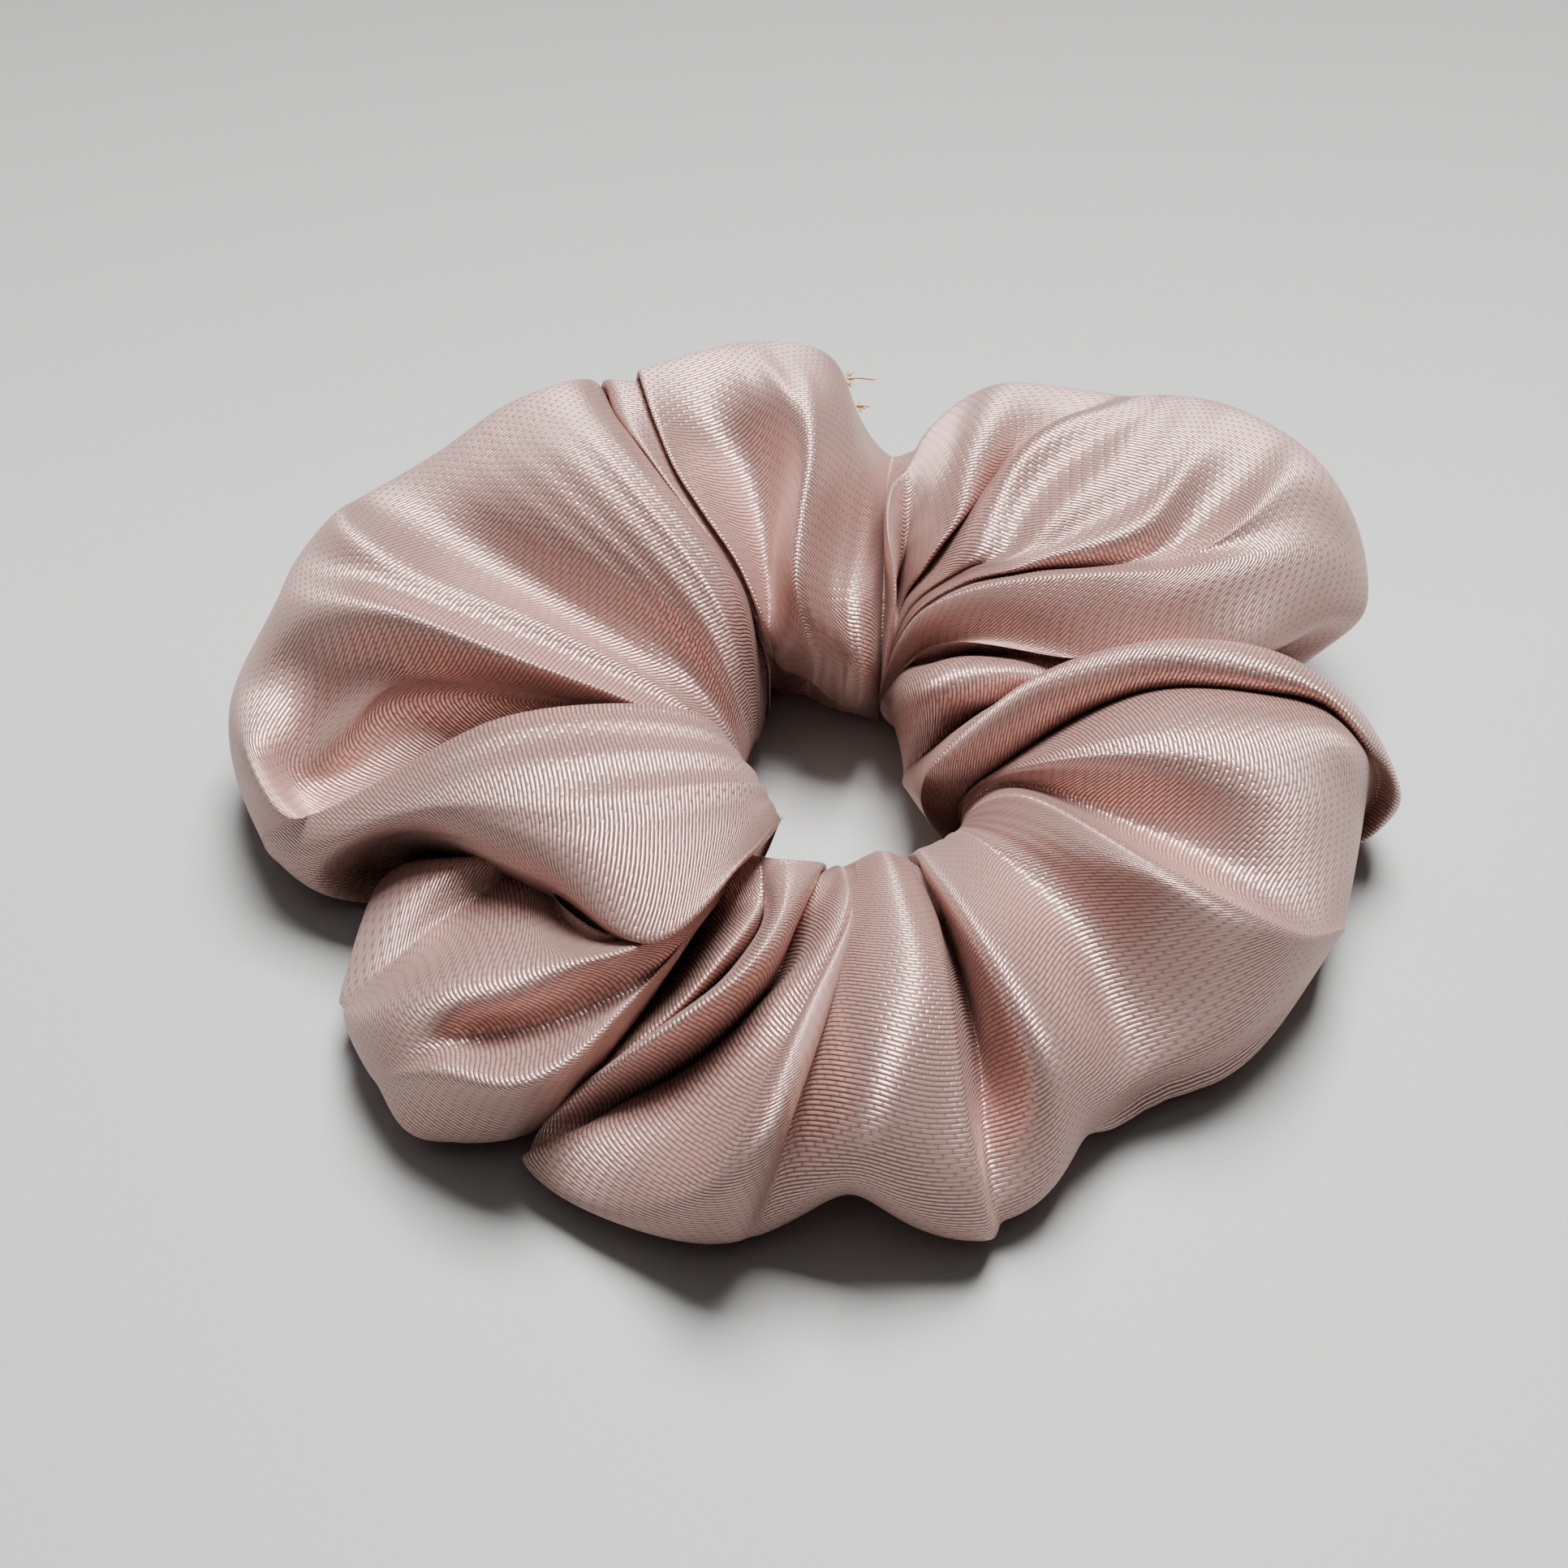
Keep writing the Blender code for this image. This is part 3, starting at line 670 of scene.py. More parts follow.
CLOSING_LOBE = (
    fold("gap", GATHER, (77, 14.5, 3), (75.4, 13, 13), (78.1, 17, 16.5), (81.3, 25.2, 17),
         (82.4, 33.5, 16.5), (83, 43, 13), (83.1, 48.9, 10)),
    fold("right side", SOFT, (80.8, 14.4, 3), (75.2, 9.6, 15.5), (79.9, 14.1, 19.5), (82.4, 24, 18.5),
         (83.2, 32.5, 18), (84.2, 41, 15), (85.5, 48.4, 12)),
    fold("dish", HOLLOW, (86.9, 15, 3), (84.6, 8.8, 16), (88.1, 12.2, 20.5), (85.9, 22.1, 20.5),
         (85.3, 29.4, 21), (87.1, 38.1, 20.5), (89.2, 47.1, 19)),
    fold("top corner", SOFT, (96.3, 15.9, 3), (98.1, 9.5, 16.5), (100.6, 12.8, 21.8), (93.4, 21.3, 23.3),
         (91, 29.4, 25.2), (90.4, 36.4, 26), (90.4, 44.1, 25), (90.8, 49.1, 24)),
    fold("ridge", SOFT, (103.3, 17.9, 3), (111.7, 10.8, 17), (115.6, 12.3, 23.8), (106.2, 17.6, 27),
         (99.2, 24.9, 29), (98, 32.4, 29.3), (99, 43, 27.3), (99.9, 50.3, 25)),
    fold("ridge flank", SOFT, (109.5, 19.3, 3), (119.1, 13.4, 15.5), (111.6, 19, 20), (106, 25.4, 22.8),
         (104.5, 30.6, 25), (104.9, 35.7, 27.5), (105, 42.9, 27.5), (105.9, 49, 26)),
    fold("valley", HOLLOW, (111.1, 20, 3), (118.9, 15.4, 15), (112.2, 21.7, 19), (110.3, 27.4, 21.8),
         (110.1, 33.9, 24.3), (110.9, 38.6, 26.3), (110.6, 44.2, 27), (110.8, 48.5, 26)),
    fold("hem edge", SOFT, (112.2, 20, 4), (122.6, 14.8, 17), (122.7, 19.4, 22), (123.5, 24.9, 24.8),
         (123, 30.7, 26.5), (120.4, 37.9, 27.3), (118.2, 44.1, 27.3), (116.8, 48.2, 26)),
)
FOLDS = (TUCKED_END + BACK_LEFT_LOBE + LEFT_LOBE + LOWER_LEFT_LOBE + TIGHT_FOLDS + FRONT_LOBE
         + FRONT_RIGHT_LOBE + RIGHT_LOBE + LOOPS + BACK_RIGHT_LOBE + CLOSING_LOBE)


def knot_slopes(points: np.ndarray, knots: np.ndarray) -> np.ndarray:
    """The slope of a smooth curve at each of its knots.

    Args:
        points: the curve's points, along the first axis.
        knots: each point's place along the curve.

    Returns:
        One slope for each point.
    """
    shape = (-1,) + (1,) * (points.ndim - 1)
    steps = np.diff(knots).reshape(shape)
    rises = np.diff(points, axis=0) / steps
    slopes = np.empty_like(points)
    slopes[1:-1] = (rises[:-1] * steps[1:] + rises[1:] * steps[:-1]) / (steps[1:] + steps[:-1])
    slopes[0], slopes[-1] = rises[0], rises[-1]
    return slopes


def hermite(points: np.ndarray, slopes: np.ndarray, knots: np.ndarray, at: np.ndarray) -> np.ndarray:
    """Reads a smooth curve.

    Args:
        points: the points that it goes through, along the first axis.
        slopes: its slope at each of them.
        knots: each point's place along the curve.
        at: the places to read.

    Returns:
        The curve at each place.
    """
    i = np.clip(np.searchsorted(knots, at, side="right") - 1, 0, len(knots) - 2)
    shape = (-1,) + (1,) * (points.ndim - 1)
    gap = np.diff(knots)[i].reshape(shape)
    t = ((at - knots[i]) / np.diff(knots)[i]).reshape(shape)
    return ((1 + 2 * t) * (1 - t) ** 2 * points[i] + t * (1 - t) ** 2 * gap * slopes[i]
            + t * t * (3 - 2 * t) * points[i + 1] + t * t * (t - 1) * gap * slopes[i + 1])


def lengths(points: np.ndarray) -> np.ndarray:
    """The length of each vector in a grid, never quite nought."""
    return np.maximum(np.linalg.norm(points, axis=-1, keepdims=True), 1e-6)


def path_length(points: np.ndarray) -> np.ndarray:
    """How far along a line of points each one is."""
    return np.concatenate([[0], np.cumsum(np.linalg.norm(np.diff(points, axis=0), axis=1))])


def eased(share: np.ndarray) -> np.ndarray:
    """A share from 0 to 1 with a soft start and stop."""
    return share * share * (3 - 2 * share)


def same_turn(angle: float, beside: float) -> float:
    """An angle in degrees, in the turn that is nearest to another."""
    return beside + ((angle - beside + 180) % 360 - 180)


def smoothed(grid: np.ndarray, axis: int, amount: float) -> np.ndarray:
    """Moves a grid's points towards the mean of their neighbours, and keeps its ends.

    Args:
        grid: the points.
        axis: the axis that the neighbours are along.
        amount: the share of the way to move.

    Returns:
        The smoother grid.
    """
    work = np.moveaxis(grid.copy(), axis, 0)
    work[1:-1] += amount * (0.5 * (work[:-2] + work[2:]) - work[1:-1])
    return np.moveaxis(work, 0, axis)


@dataclass
class Drape:
    """Settles a grid of cloth that is cut a little larger than its designed shape, so it wrinkles.

    Fullness is the spare length round the ring, at the hole and at the rim. Each wave is the columns
    and rows that a first ripple spans, and its size.
    """

    passes: int = 300
    hold: float = 0.010
    weight: float = 0.004
    hole_fullness: float = 0.22
    rim_fullness: float = 0.05
    depth_fullness: float = 0.015
    ripple: float = 0.40
    floor: float = 0.35
    margin: float = 5.0
    upper: tuple[float, float] = (0.17, 0.7)
    hole_reach: float = 12.0
    cloth_depth: float = 34.0
    stiffness: float = 0.45
    ease_across: float = 0.35
    ease_along: float = 0.04
    clearance: float = 0.6
    waves: tuple[tuple[int, int, float], ...] = ((5, 40, 1.0), (11, 60, 1.0), (24, 70, 0.8))
    seed: int = 7

    def settle(self, shape: np.ndarray) -> np.ndarray:
        """Finds where the cloth comes to rest.

        Args:
            shape: the designed points as (columns, rows, 3), with the ring's centre at the origin.

        Returns:
            The settled points.
        """
        points = shape + self._ripples(shape)
        reach = np.linalg.norm(shape[..., :2], axis=-1, keepdims=True)
        share = np.clip((reach - self.hole_reach) / self.cloth_depth, 0, 1)
        spare = self.hole_fullness + (self.rim_fullness - self.hole_fullness) * share
        rests = (self._rest(shape, spare, 0),
                 self._rest(shape, np.full_like(spare, self.depth_fullness), 1))
        for _ in range(self.passes):
            points[..., 2] -= self.weight
            for axis, rest in enumerate(rests):
                for first in (0, 1):
                    self._pull(points, rest, axis, first)
            off = points - shape
            off = smoothed(smoothed(off, 1, self.ease_across), 0, self.ease_along)
            points = shape + off * (1 - self.hold)
            points[..., 2] = np.maximum(points[..., 2], self.floor)
        return points

    def clear_of(self, shape: np.ndarray, low: float, high: float, top: float) -> np.ndarray:
        """Lifts the cloth over the elastic where a fold would cut into it.

        Args:
            shape: the designed points, the ring's centre at the origin.
            low: the elastic's inner reach.
            high: its outer reach.
            top: its height.

        Returns:
            The points, with each valley over the elastic raised to just above it.
        """
        reach = np.linalg.norm(shape[..., :2], axis=-1)
        near = eased(np.clip(1 - np.maximum(low - reach, reach - high) / self.margin, 0, 1))
        rows = np.arange(shape.shape[1])
        upper = (rows > self.upper[0] * len(rows)) & (rows < self.upper[1] * len(rows))
        want = np.maximum(shape[..., 2], top + self.clearance)
        lifted = shape.copy()
        lifted[..., 2] += (want - shape[..., 2]) * near * upper
        return lifted

    @staticmethod
    def _rest(shape: np.ndarray, spare: np.ndarray, axis: int) -> np.ndarray:
        """The cloth's own length between neighbours.

        Args:
            shape: the designed points.
            spare: the spare length at each of them, as a share.
            axis: the axis that the neighbours are along.

        Returns:
            One length for each pair.
        """
        gap = lengths(np.diff(shape, axis=axis))
        ahead = spare[1:] if axis == 0 else spare[:, 1:]
        return gap * (1 + ahead)

    def _pull(self, points: np.ndarray, rest: np.ndarray, axis: int, first: int) -> None:
        """Moves every second pair of neighbours towards its own length.

        Args:
            points: the cloth's points, which are moved.
            rest: each pair's own length.
            axis: the axis that the neighbours are along.
            first: where the first pair starts.
        """
        low, high, size = ((points[first:-1:2], points[first + 1::2], rest[first::2]) if axis == 0 else
                           (points[:, first:-1:2], points[:, first + 1::2], rest[:, first::2]))
        gap = high - low
        move = gap * (self.stiffness * (1 - size / lengths(gap)))
        low += move
        high -= move

    def _ripples(self, shape: np.ndarray) -> np.ndarray:
        """Small uneven ripples across the cloth's face, which the spare length then grows.

        Args:
            shape: the designed points.

        Returns:
            How far each point moves.
        """
        random = np.random.default_rng(self.seed)
        height = np.zeros(shape.shape[:2])
        for wide, tall, size in self.waves:
            coarse = random.normal(size=(shape.shape[0] // wide + 3, shape.shape[1] // tall + 3))
            height += size * self._spread(coarse, shape.shape[:2], (wide, tall))
        normal = np.cross(np.gradient(shape, axis=0), np.gradient(shape, axis=1))
        return normal / lengths(normal) * (self.ripple * height)[..., None]

    @staticmethod
    def _spread(coarse: np.ndarray, size: tuple[int, int], gap: tuple[int, int]) -> np.ndarray:
        """Reads a coarse grid smoothly at every point of a finer one.

        Args:
            coarse: the coarse grid.
            size: the finer one's columns and rows.
            gap: how many of them go to one step of the coarse grid.

        Returns:
            The finer grid.
        """
        for axis in (0, 1):
            at = np.arange(size[axis]) / gap[axis]
            whole = at.astype(int)
            part = eased(at - whole)
            part = part[:, None] if axis == 0 else part[None, :]
            coarse = np.take(coarse, whole, axis) * (1 - part) + np.take(coarse, whole + 1, axis) * part
        return coarse


@dataclass
class SatinSleeve:
    """The gathered satin tube, cut as one strip, seamed along its length and lapped at its ends.

    Each column of its grid runs across the strip, from one allowance to the other. Hole share is the
    part of the column before the hole's edge, and top share is the part from there to the rim.
    """

    centre: Vector
    strip_width: float = 110.0
    strip_length: float = 400.0
    seam_reach: float = 24.9
    seam_gap: float = 0.9
    allowance: float = 6.0
    hem: float = 6.0
    thickness: float = 0.7
    floor: float = 0.5
    rows: int = 150
    spacing: float = 1.2
    hole_share: float = 0.17
    top_share: float = 0.56
    side_share: float = 0.35
    seam_rise: float = 1.2
    seam_even: float = 0.15
    inside_reach: float = 20.0
    outside_reach: float = 33.0
    smallest_hole: float = 13.5
    back_bulge: float = 0.06
    front_bulge: float = 0.36
    fold_room: float = 0.4
    band_depth: float = 2.4
    fine_steps: int = 900
    accent: float = 0.55
    accent_passes: int = 24
    accent_fade: tuple[float, float] = (0.1, 0.15)
    soft_passes: int = 6
    soft_room: float = 6.0
    stitched: tuple[float, float] = (0.33, 0.62)
    tucked: tuple[int, int] = (2, 40)
    stitch_ahead: float = 0.8
    finish: Satin = field(default_factory=Satin)
    drape: Drape = field(default_factory=Drape)
    settled: np.ndarray | None = field(default=None, init=False, repr=False)

    def build(self) -> bpy.types.Object:
        """Makes the sleeve's mesh and dresses it.

        Returns:
            The sleeve.
        """
        grid, widths = self._surface()
        low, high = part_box("elastic_band")
        outer = (high.x - low.x) / 2 / MM
        grid = self.drape.clear_of(grid, outer - self.band_depth, outer, high.z / MM)
        self.settled = grid = self.drape.settle(grid)
        piece = self._mesh("satin_sleeve_cloth", grid, widths)
        piece.data.materials.append(self.finish.material())
        smooth = piece.modifiers.new("fine cloth", "SUBSURF")
        smooth.levels = smooth.render_levels = 1
        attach(piece, "root")
        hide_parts("satin_sleeve")
        return piece

    @property
    def rim_share(self) -> float:
        """The part of a column before the rim."""
        return self.hole_share + self.top_share

    def _seam_angles(self) -> np.ndarray:
        """Where each fold meets the long seam.

        Returns:
            One angle in degrees for each fold. They only grow along the strip.
        """
        mean = []
        for one in FOLDS:
            angle = np.radians([p[0] for p in one.line])
            reach = np.array([p[1] for p in one.line])
            x, y = (np.cos(angle) * reach).sum(), (np.sin(angle) * reach).sum()
            mean.append(math.degrees(math.atan2(y, x)))
        turns = np.degrees(np.unwrap(np.radians(mean)))
        rising = np.maximum.accumulate(turns)
        falling = np.minimum.accumulate(turns[::-1])[::-1]
        even = np.linspace(turns[0], turns[-1], len(turns))
        return (1 - self.seam_even) * (rising + falling) / 2 + self.seam_even * even

    def _section(self, one: Fold, seam_angle: float) -> list[np.ndarray]:
        """One fold's whole line: up an allowance, round the top, and back to the other allowance.

        Args:
            one: the fold.
            seam_angle: where it meets the long seam.

        Returns:
            Three parts, under the hole, over the top and under the rim, each as rows of
            (angle in degrees, reach, height).
        """
        line = [list(p) for p in one.line]
        for i in range(1, len(line)):
            line[i][0] = same_turn(line[i][0], line[i - 1][0])
        hole, rim = line[0], line[-1]
        start = self._under_hole(hole, same_turn(seam_angle, hole[0]), one.bend.lift)
        end = self._under_rim(rim, same_turn(seam_angle, rim[0]), one.bend.lift, one.tuck)
        return [np.array(part, float) for part in (start, line, end)]

    def _under_hole(self, hole: list[float], seam: float, lift: float) -> list[list[float]]:
        """The cloth from the inner allowance, under the ring, to just below the hole's edge.

        Args:
            hole: the fold's first point.
            seam: the angle of the long seam here.
            lift: how far the underside stands off the table.

        Returns:
            Rows of (angle in degrees, reach, height).
        """
        root = self.floor + self.seam_rise
        inner = self.seam_reach - self.seam_gap / 2
        return [
            [seam, inner, root + self.allowance],
            [seam, inner, root + self.allowance * 0.4],
            [seam, inner - 0.6, root],
            [(seam * 0.7 + hole[0] * 0.3), self.inside_reach, self.floor + 0.6 + lift * 0.4],
            [(seam * 0.3 + hole[0] * 0.7), max(hole[1] + 1.4, self.smallest_hole),
             max(1.6, hole[2] * 0.35)],
        ]

    def _under_rim(self, rim: list[float], seam: float, lift: float, tuck: float) -> list[list[float]]:
        """The cloth from just below the rim, under the ring, to the outer allowance.

        Args:
            rim: the fold's last point.
            seam: the angle of the long seam here.
            lift: how far the underside stands off the table.
            tuck: how far the cloth draws in below the rim.

        Returns:
            Rows of (angle in degrees, reach, height).
        """
        root = self.floor + self.seam_rise
        outer = self.seam_reach + self.seam_gap / 2
        facing = math.sin(math.radians(rim[0]))
        bulge = (self.back_bulge if facing > 0 else self.front_bulge) * rim[2] * facing
        return [
            [rim[0], rim[1] + bulge - 0.6 * tuck, rim[2] * 0.62 + 0.3],
            [rim[0], rim[1] + 1.7 * bulge - 2.0 - tuck, rim[2] * 0.26 + 0.8 + lift * 0.3],
            [rim[0] * 0.75 + seam * 0.25, 0.80 * rim[1] - 0.5 * tuck, self.floor + 0.5 + lift],
            [rim[0] * 0.35 + seam * 0.65, self.outside_reach, self.floor + 0.3 + lift * 0.7],
            [seam, outer + 0.7, root],
            [seam, outer, root + self.allowance * 0.4],
            [seam, outer, root + self.allowance],
        ]

    def _column(self, one: Fold, seam_angle: float) -> np.ndarray:
        """One fold's line as points, evenly placed within each of its three parts.

        Args:
            one: the fold.
            seam_angle: where it meets the long seam.

        Returns:
            One row of x, y and z for each row of the grid, in millimetres.
        """
        parts = []
        for part in self._section(one, seam_angle):
            angle = np.radians(part[:, 0])
            x, y = part[:, 1] * np.cos(angle), part[:, 1] * np.sin(angle)
            parts.append(np.stack([x, y, part[:, 2]], axis=1))
        whole = np.concatenate(parts)
        gaps = np.sqrt(np.linalg.norm(np.diff(whole, axis=0), axis=1)) + 1e-6
        knots = np.concatenate([[0], np.cumsum(gaps)])
        fine = np.linspace(0, knots[-1], self.fine_steps)
        dense = hermite(whole, knot_slopes(whole, knots), knots, fine)
        length = path_length(dense)
        first, last = len(parts[0]), len(parts[0]) + len(parts[1]) - 1
        marks = np.interp([knots[first], knots[last]], fine, length)
        top = round(self.rows * self.top_share)
        before = round(self.rows * self.hole_share)
        after = self.rows - top - before
        wanted = np.concatenate([np.linspace(0, marks[0], before, endpoint=False),
                                 np.linspace(marks[0], marks[1], top, endpoint=False),
                                 np.linspace(marks[1], length[-1], after)])
        return np.stack([np.interp(wanted, length, dense[:, k]) for k in range(3)], axis=1)

    def _surface(self) -> tuple[np.ndarray, np.ndarray]:
        """The cloth's points, strip length first, and how far along the strip each column is.

        Returns:
            The points as (columns, rows, 3) in millimetres, and each column's place on the strip.
        """
        angles = self._seam_angles()
        columns = np.stack([self._column(one, angle) for one, angle in zip(FOLDS, angles)])
        gaps = np.linalg.norm(np.diff(columns, axis=0), axis=2)
        outer = gaps[:, int(self.rows * self.side_share):int(self.rows * self.rim_share)].mean(axis=1)
        knots = np.concatenate([[0], np.cumsum(outer + self.fold_room)])
        slopes = knot_slopes(columns, knots)
        slopes *= np.array([one.bend.roundness for one in FOLDS])[:, None, None]
        count = round(knots[-1] / self.spacing)
        at = np.linspace(0, knots[-1], count)
        softness = np.interp(at, knots, self._softness(knots))
        even = self._evened(hermite(columns, slopes, knots, at), softness)
        grid = self._hemmed(self._accented(even))
        at = np.append(at, at[-1] + self.spacing * (1 + np.arange(len(grid) - count)))
        return grid, at * (self.strip_length / at[-1])

    def _softness(self, knots: np.ndarray) -> np.ndarray:
        """How soft the cloth is at each fold: less where the folds are close together.

        Args:
            knots: each fold's place along the strip.

        Returns:
            A share from 0 to 1 for each fold.
        """
        gaps = np.diff(knots)
        room = np.minimum(np.append(gaps, gaps[-1]), np.append(gaps[0], gaps))
        return np.array([one.bend.softness for one in FOLDS]) * np.clip(room / self.soft_room, 0, 1)

    def _evened(self, grid: np.ndarray, share: np.ndarray) -> np.ndarray:
        """Moves each column towards the mean of its neighbours.

        Args:
            grid: the cloth's points.
            share: the share of the way that each column moves.

        Returns:
            The evener grid.
        """
        for _ in range(self.soft_passes):
            grid = grid + share[:, None, None] * (smoothed(grid, 0, 1.0) - grid)
        return grid

    def _hem_columns(self) -> int:
        """How many columns are turned under at the closing end."""
        return round(self.hem / self.spacing)

    def _hemmed(self, grid: np.ndarray) -> np.ndarray:
        """Turns the closing end under itself.

        Args:
            grid: the cloth's points.

        Returns:
            The points, with the hem's columns added.
        """
        count = self._hem_columns()
        normal = np.cross(np.gradient(grid, axis=1), np.gradient(grid, axis=0))
        normal /= lengths(normal)
        edge = grid[-1:] + 0.25 * (grid[-1:] - grid[-2:-1]) - 0.5 * self.thickness * normal[-1:]
        under = (grid - self.thickness * normal)[-2:-1 - count:-1]
        return np.concatenate([grid, edge, under])

    def _accented(self, grid: np.ndarray) -> np.ndarray:
        """Raises the ridges and deepens the hollows over the top.

        Args:
            grid: the cloth's points.

        Returns:
            The accented points.
        """
        soft = grid
        for _ in range(self.accent_passes):
            soft = smoothed(soft, 0, 1.0)
        share = np.linspace(0, 1, self.rows)[None, :, None]
        rise, fall = self.accent_fade
        window = (np.clip((share - self.hole_share) / rise, 0, 1)
                  * np.clip((self.hole_share + self.top_share - share) / fall, 0, 1))
        return grid + self.accent * window * (grid - soft)

    def hem_line(self) -> tuple[np.ndarray, np.ndarray]:
        """Where the closing end lies on the cloth below it, from the hole to the rim.

        Returns:
            Points on the hem's top just inside its fold, and the nearest points of the tucked end.
        """
        fold_at = len(self.settled) - 1 - self._hem_columns()
        rows = slice(int(self.rows * self.stitched[0]), int(self.rows * self.stitched[1]))
        top = self.settled[fold_at - 1, rows]
        edge = self.settled[fold_at, rows]
        below = self.settled[slice(*self.tucked), rows].reshape(-1, 3)
        beyond = edge + self.stitch_ahead * (edge - top) / lengths(edge - top)
        nearest = np.linalg.norm(below[None] - beyond[:, None], axis=2).argmin(axis=1)
        return top, below[nearest]

    def nearest(self, angle: float, reach: float, height: float) -> np.ndarray:
        """Finds the point of the settled cloth nearest to a place about the ring's centre.

        Args:
            angle: the place's angle, in degrees.
            reach: how far out it is, in millimetres.
            height: how high it is, in millimetres.

        Returns:
            The point, in millimetres about the ring's centre.
        """
        turn = math.radians(angle)
        place = np.array([reach * math.cos(turn), reach * math.sin(turn), height])
        points = self.settled.reshape(-1, 3)
        return points[np.linalg.norm(points - place, axis=1).argmin()]

    def _mesh(self, name: str, grid: np.ndarray, along: np.ndarray) -> bpy.types.Object:
        """A mesh of a grid of points, with a map of the flat strip.

        Args:
            name: the object's name.
            grid: (columns, rows, 3) points in millimetres about the ring's centre.
            along: each column's place on the strip, in millimetres.

        Returns:
            The object.
        """
        columns, rows = grid.shape[:2]
        across = np.concatenate([np.zeros((columns, 1)),
                                 np.cumsum(np.linalg.norm(np.diff(grid, axis=1), axis=2), axis=1)], axis=1)
        rim = int(rows * self.rim_share)
        across -= across[:, rim:rim + 1] - self.strip_width / 2
        points = grid.reshape(-1, 3) * MM + np.array([self.centre.x, self.centre.y, 0])
        i, j = np.meshgrid(np.arange(columns - 1), np.arange(rows - 1), indexing="ij")
        corner = (i * rows + j).ravel()
        faces = np.stack([corner, corner + rows, corner + rows + 1, corner + 1], axis=1)
        mesh = bpy.data.meshes.new(name)
        mesh.from_pydata(points.tolist(), [], faces[:, ::-1].tolist())
        layer = mesh.uv_layers.new(name=CLOTH_MAP)
        flat = np.stack([np.repeat(along[:, None], rows, axis=1), across], axis=2).reshape(-1, 2)
        corners = np.empty(len(mesh.loops), np.int32)
        mesh.loops.foreach_get("vertex_index", corners)
        layer.data.foreach_set("uv", flat[corners].astype(np.float32).ravel())
        mesh.shade_smooth()
        return placed(name, mesh)


# ------------------------------------------------------------------- the threads


@dataclass
class Threads:
    """Round threads that follow given lines, made as one piece. Lengths are millimetres."""

    name: str
    stands_for: str
    finish: Yarn
    centre: Vector
    sides: int = 8
    tip: float = 0.55

    def build(self, lines: list[tuple[np.ndarray, float]]) -> bpy.types.Object:
        """Makes the threads.

        Args:
            lines: for each thread, its points about the ring's centre, and its radius.

        Returns:
            The piece.
        """
        mesh = bmesh.new()
        for points, radius in lines:
            self._thread(mesh, points, radius)
        data = bpy.data.meshes.new(self.name)
        mesh.to_mesh(data)
        mesh.free()
        data.shade_smooth()
        data.materials.append(self.finish.material())
        piece = placed(self.name, data)
        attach(piece, "root")
        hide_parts(self.stands_for)
        return piece

    def _thread(self, mesh: bmesh.types.BMesh, points: np.ndarray, radius: float) -> None:
        """Adds one thread, tapered a little at its ends.

        Args:
            mesh: the mesh that it is added to.
            points: its middle line, about the ring's centre.
            radius: its radius.
        """
        ahead = np.gradient(points, axis=0)
        ahead /= lengths(ahead)
        rings = []
        for k, (point, way) in enumerate(zip(points, ahead)):
            side = Vector(way).orthogonal().normalized()
            over = Vector(way).cross(side)
            size = radius * (self.tip if k in (0, len(points) - 1) else 1.0)
            turns = [math.tau * n / self.sides for n in range(self.sides)]
            middle = Vector(point) + self.centre / MM
            rings.append([mesh.verts.new((middle + size * (math.cos(t) * side + math.sin(t) * over)) * MM)
                          for t in turns])
        for low, high in zip(rings, rings[1:]):
            shift = min(range(self.sides), key=lambda n: (high[n].co - low[0].co).length)
            for n in range(self.sides):
                after = (n + 1) % self.sides
                mesh.faces.new((low[n], low[after], high[(after + shift) % self.sides],
                                high[(n + shift) % self.sides]))
        mesh.faces.new(rings[0][::-1])
        mesh.faces.new(rings[-1])


@dataclass
class ClosingStitches:
    """Short hand stitches that hold the hem down on the tucked end."""

    sleeve: SatinSleeve
    gap: float = 2.4
    reach: float = 1.3
    radius: float = 0.07
    rise: float = 0.06
    arch: float = 0.12
    points: int = 7
    end_room: float = 1.0
    finish: Yarn = CLOSING_THREAD

    def build(self) -> bpy.types.Object:
        """Makes the stitches along the hem.

        Returns:
            The piece.
        """
        top, below = self.sleeve.hem_line()
        length = path_length(top)
        lines = []
        for at in np.arange(self.end_room, length[-1] - self.end_room, self.gap):
            k = int(np.searchsorted(length, at))
            share = np.linspace(0, 1, self.points)[:, None]
            across = below[k] - top[k]
            line = top[k] + share * across * min(1.0, self.reach / np.linalg.norm(across))
            line[:, 2] += self.rise + self.arch * np.sin(math.pi * share[:, 0])
            line[[0, -1], 2] -= 2 * self.rise
            lines.append((line, self.radius))
        threads = Threads("closing_seam_thread", "closing_seam_stitches", self.finish, self.sleeve.centre)
        return threads.build(lines)


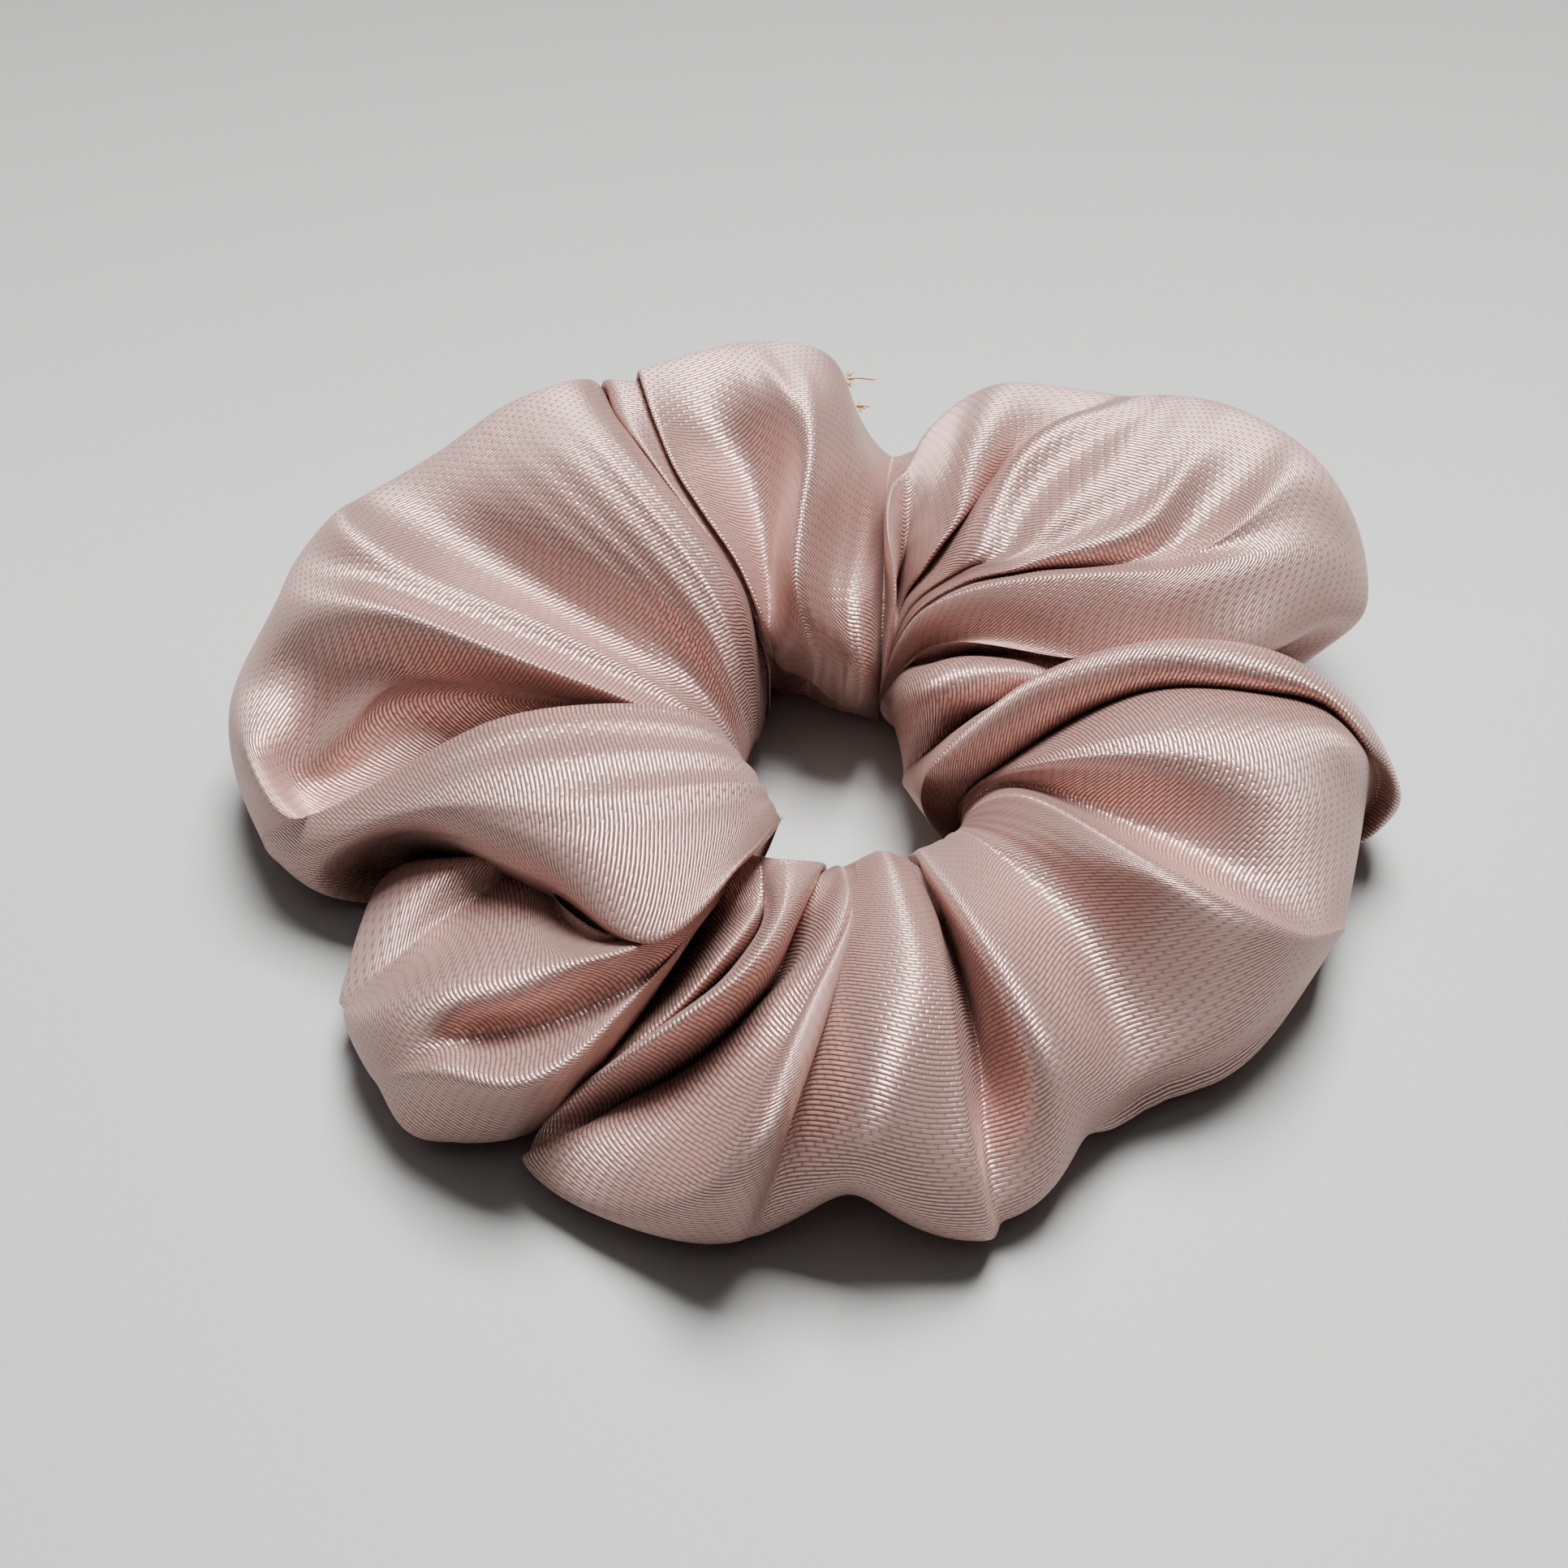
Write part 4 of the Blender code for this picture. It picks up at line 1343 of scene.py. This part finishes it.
@dataclass
class FrayedEnd:
    """A frayed end of the cut cloth: one long beige yarn and a few short ones."""

    name: str
    stands_for: str
    root: np.ndarray
    centre: Vector
    lean: Place
    length: float
    short: int = 14
    radius: float = 0.14
    spread: float = 0.6
    droop: float = 0.12
    points: int = 12
    seed: int = 3
    finish: Yarn = RAW_YARN

    def build(self) -> bpy.types.Object:
        """Makes the yarns, fanned out from their root.

        Returns:
            The piece.
        """
        random = np.random.default_rng(self.seed)
        lines = [(self._yarn(np.array(self.lean), self.length, random), self.radius)]
        for _ in range(self.short):
            lean = np.array(self.lean) + random.normal(size=3) * self.spread
            length = self.length * random.uniform(0.3, 0.6)
            lines.append((self._yarn(lean, length, random), self.radius * 0.7))
        return Threads(self.name, self.stands_for, self.finish, self.centre).build(lines)

    def _yarn(self, lean: np.ndarray, length: float, random: np.random.Generator) -> np.ndarray:
        """One yarn, straight at its root, drooping and wandering towards its tip.

        Args:
            lean: the way that it points.
            length: its length.
            random: what it draws its wandering from.

        Returns:
            Its points.
        """
        share = np.linspace(0, 1, self.points)[:, None]
        line = self.root - 0.5 * lean + share * lean / np.linalg.norm(lean) * (length + 0.5)
        line += share ** 2 * random.normal(size=3) * self.droop * length
        line[:, 2] -= self.droop * length * share[:, 0] ** 2
        return line


# -------------------------------------------------------------------- the studio


@dataclass(frozen=True)
class SoftLight:
    """A square soft light that faces a point. Lengths are millimetres, and power is in watts."""

    name: str
    place: Place
    aim: Place
    size: float
    power: float

    def build(self) -> None:
        """Hangs the light."""
        data = bpy.data.lights.new(self.name, "AREA")
        data.shape = "SQUARE"
        data.size = self.size * MM
        data.energy = self.power
        lamp = placed(self.name, data)
        lamp.location = Vector(self.place) * MM
        lamp.rotation_euler = (Vector(self.aim) - Vector(self.place)).to_track_quat("-Z", "Y").to_euler()


@dataclass
class Studio:
    """A pale sweep, a soft light high above and behind, a wide soft fill, and the camera."""

    elevation: float = 46.0
    distance: float = 240.0
    aim: Place = (-2.7, 0.0, 10.0)
    lens: float = 56.35
    lights: tuple[SoftLight, ...] = (SoftLight("overhead", (66, 215, 645), (0, 10, 0), 320, 16.5),
                                     SoftLight("fill", (-60, 0, 760), (0, 0, 0), 900, 1.2))
    surround: Colour = (0.9, 0.92, 0.95)
    surround_strength: float = 0.03
    sweep_width: float = 9000
    sweep_front: float = -4500
    bend_at: float = 900
    bend_radius: float = 500
    bend_steps: int = 16
    wall_height: float = 900
    finish: PalePaper = field(default_factory=PalePaper)

    def build(self) -> None:
        """Makes the camera, the sweep and the lights."""
        self._camera()
        self._sweep()
        for light in self.lights:
            light.build()
        self._world()

    def _camera(self) -> None:
        """Places the camera on its line of sight, depth of field off."""
        data = bpy.data.cameras.new("camera")
        data.lens = self.lens
        data.sensor_width = 36
        data.clip_start, data.clip_end = 0.01, 10
        camera = placed("camera", data)
        tilt = math.radians(self.elevation)
        back = Vector((0, -math.cos(tilt), math.sin(tilt)))
        camera.location = (Vector(self.aim) + back * self.distance) * MM
        camera.rotation_euler = (-back).to_track_quat("-Z", "Y").to_euler()
        bpy.context.scene.camera = camera

    def _sweep(self) -> None:
        """A floor that turns up into a backdrop far behind."""
        profile = [(self.sweep_front, 0.0), (self.bend_at, 0.0)]
        for k in range(1, self.bend_steps + 1):
            turn = math.pi / 2 * k / self.bend_steps
            profile.append((self.bend_at + self.bend_radius * math.sin(turn),
                            self.bend_radius * (1 - math.cos(turn))))
        profile.append((self.bend_at + self.bend_radius, self.bend_radius + self.wall_height))
        mesh = bmesh.new()
        sides = (-self.sweep_width / 2, self.sweep_width / 2)
        rows = [[mesh.verts.new((x * MM, y * MM, z * MM)) for x in sides] for y, z in profile]
        for a, b in zip(rows, rows[1:]):
            mesh.faces.new((a[0], a[1], b[1], b[0]))
        data = bpy.data.meshes.new("sweep")
        mesh.to_mesh(data)
        mesh.free()
        data.shade_smooth()
        data.materials.append(self.finish.material())
        placed("sweep", data)

    def _world(self) -> None:
        """Sets a dim even surround."""
        world = bpy.data.worlds.new("surround")
        world.use_nodes = True
        background = world.node_tree.nodes["Background"]
        background.inputs["Color"].default_value = (*self.surround, 1)
        background.inputs["Strength"].default_value = self.surround_strength
        bpy.context.scene.world = world


def dress(node: str, material: bpy.types.Material) -> None:
    """Gives a carried-over node its material.

    Args:
        node: the node's name.
        material: what it is made of.
    """
    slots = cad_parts[node].data.materials
    slots.clear()
    slots.append(material)
    LOG.info("%s: dressed", node)


def main() -> None:
    """Builds the scrunchie's pieces in order and the studio round them."""
    logging.basicConfig(level=logging.INFO, format="%(message)s")
    Studio().build()
    sleeve = SatinSleeve(centre=RING_CENTRE)
    pieces = [sleeve.build(), ClosingStitches(sleeve).build()]
    corner = sleeve.nearest(89.5, 47.6, 20.5)
    lower = sleeve.nearest(88.0, 45.6, 18.5)
    upper_yarn = FrayedEnd("upper_frayed_yarn", "thread_tail_upper", corner, RING_CENTRE,
                           lean=(1.0, 0.1, 0.15), length=2.8)
    lower_yarn = FrayedEnd("lower_frayed_yarn", "thread_tail_lower", lower, RING_CENTRE,
                           lean=(0.8, -0.3, 0.4), length=2.0, seed=5)
    pieces += [upper_yarn.build(), lower_yarn.build()]
    for piece in pieces:
        LOG.info("%s: %d faces", piece.name, len(piece.data.polygons))
    dress("elastic_band", KnitElastic().material())
    dress("elastic_join_stitches", WHITE_THREAD.material())
    dress("long_seam_stitches", SEAM_THREAD.material())


if __name__ == "__main__":
    main()
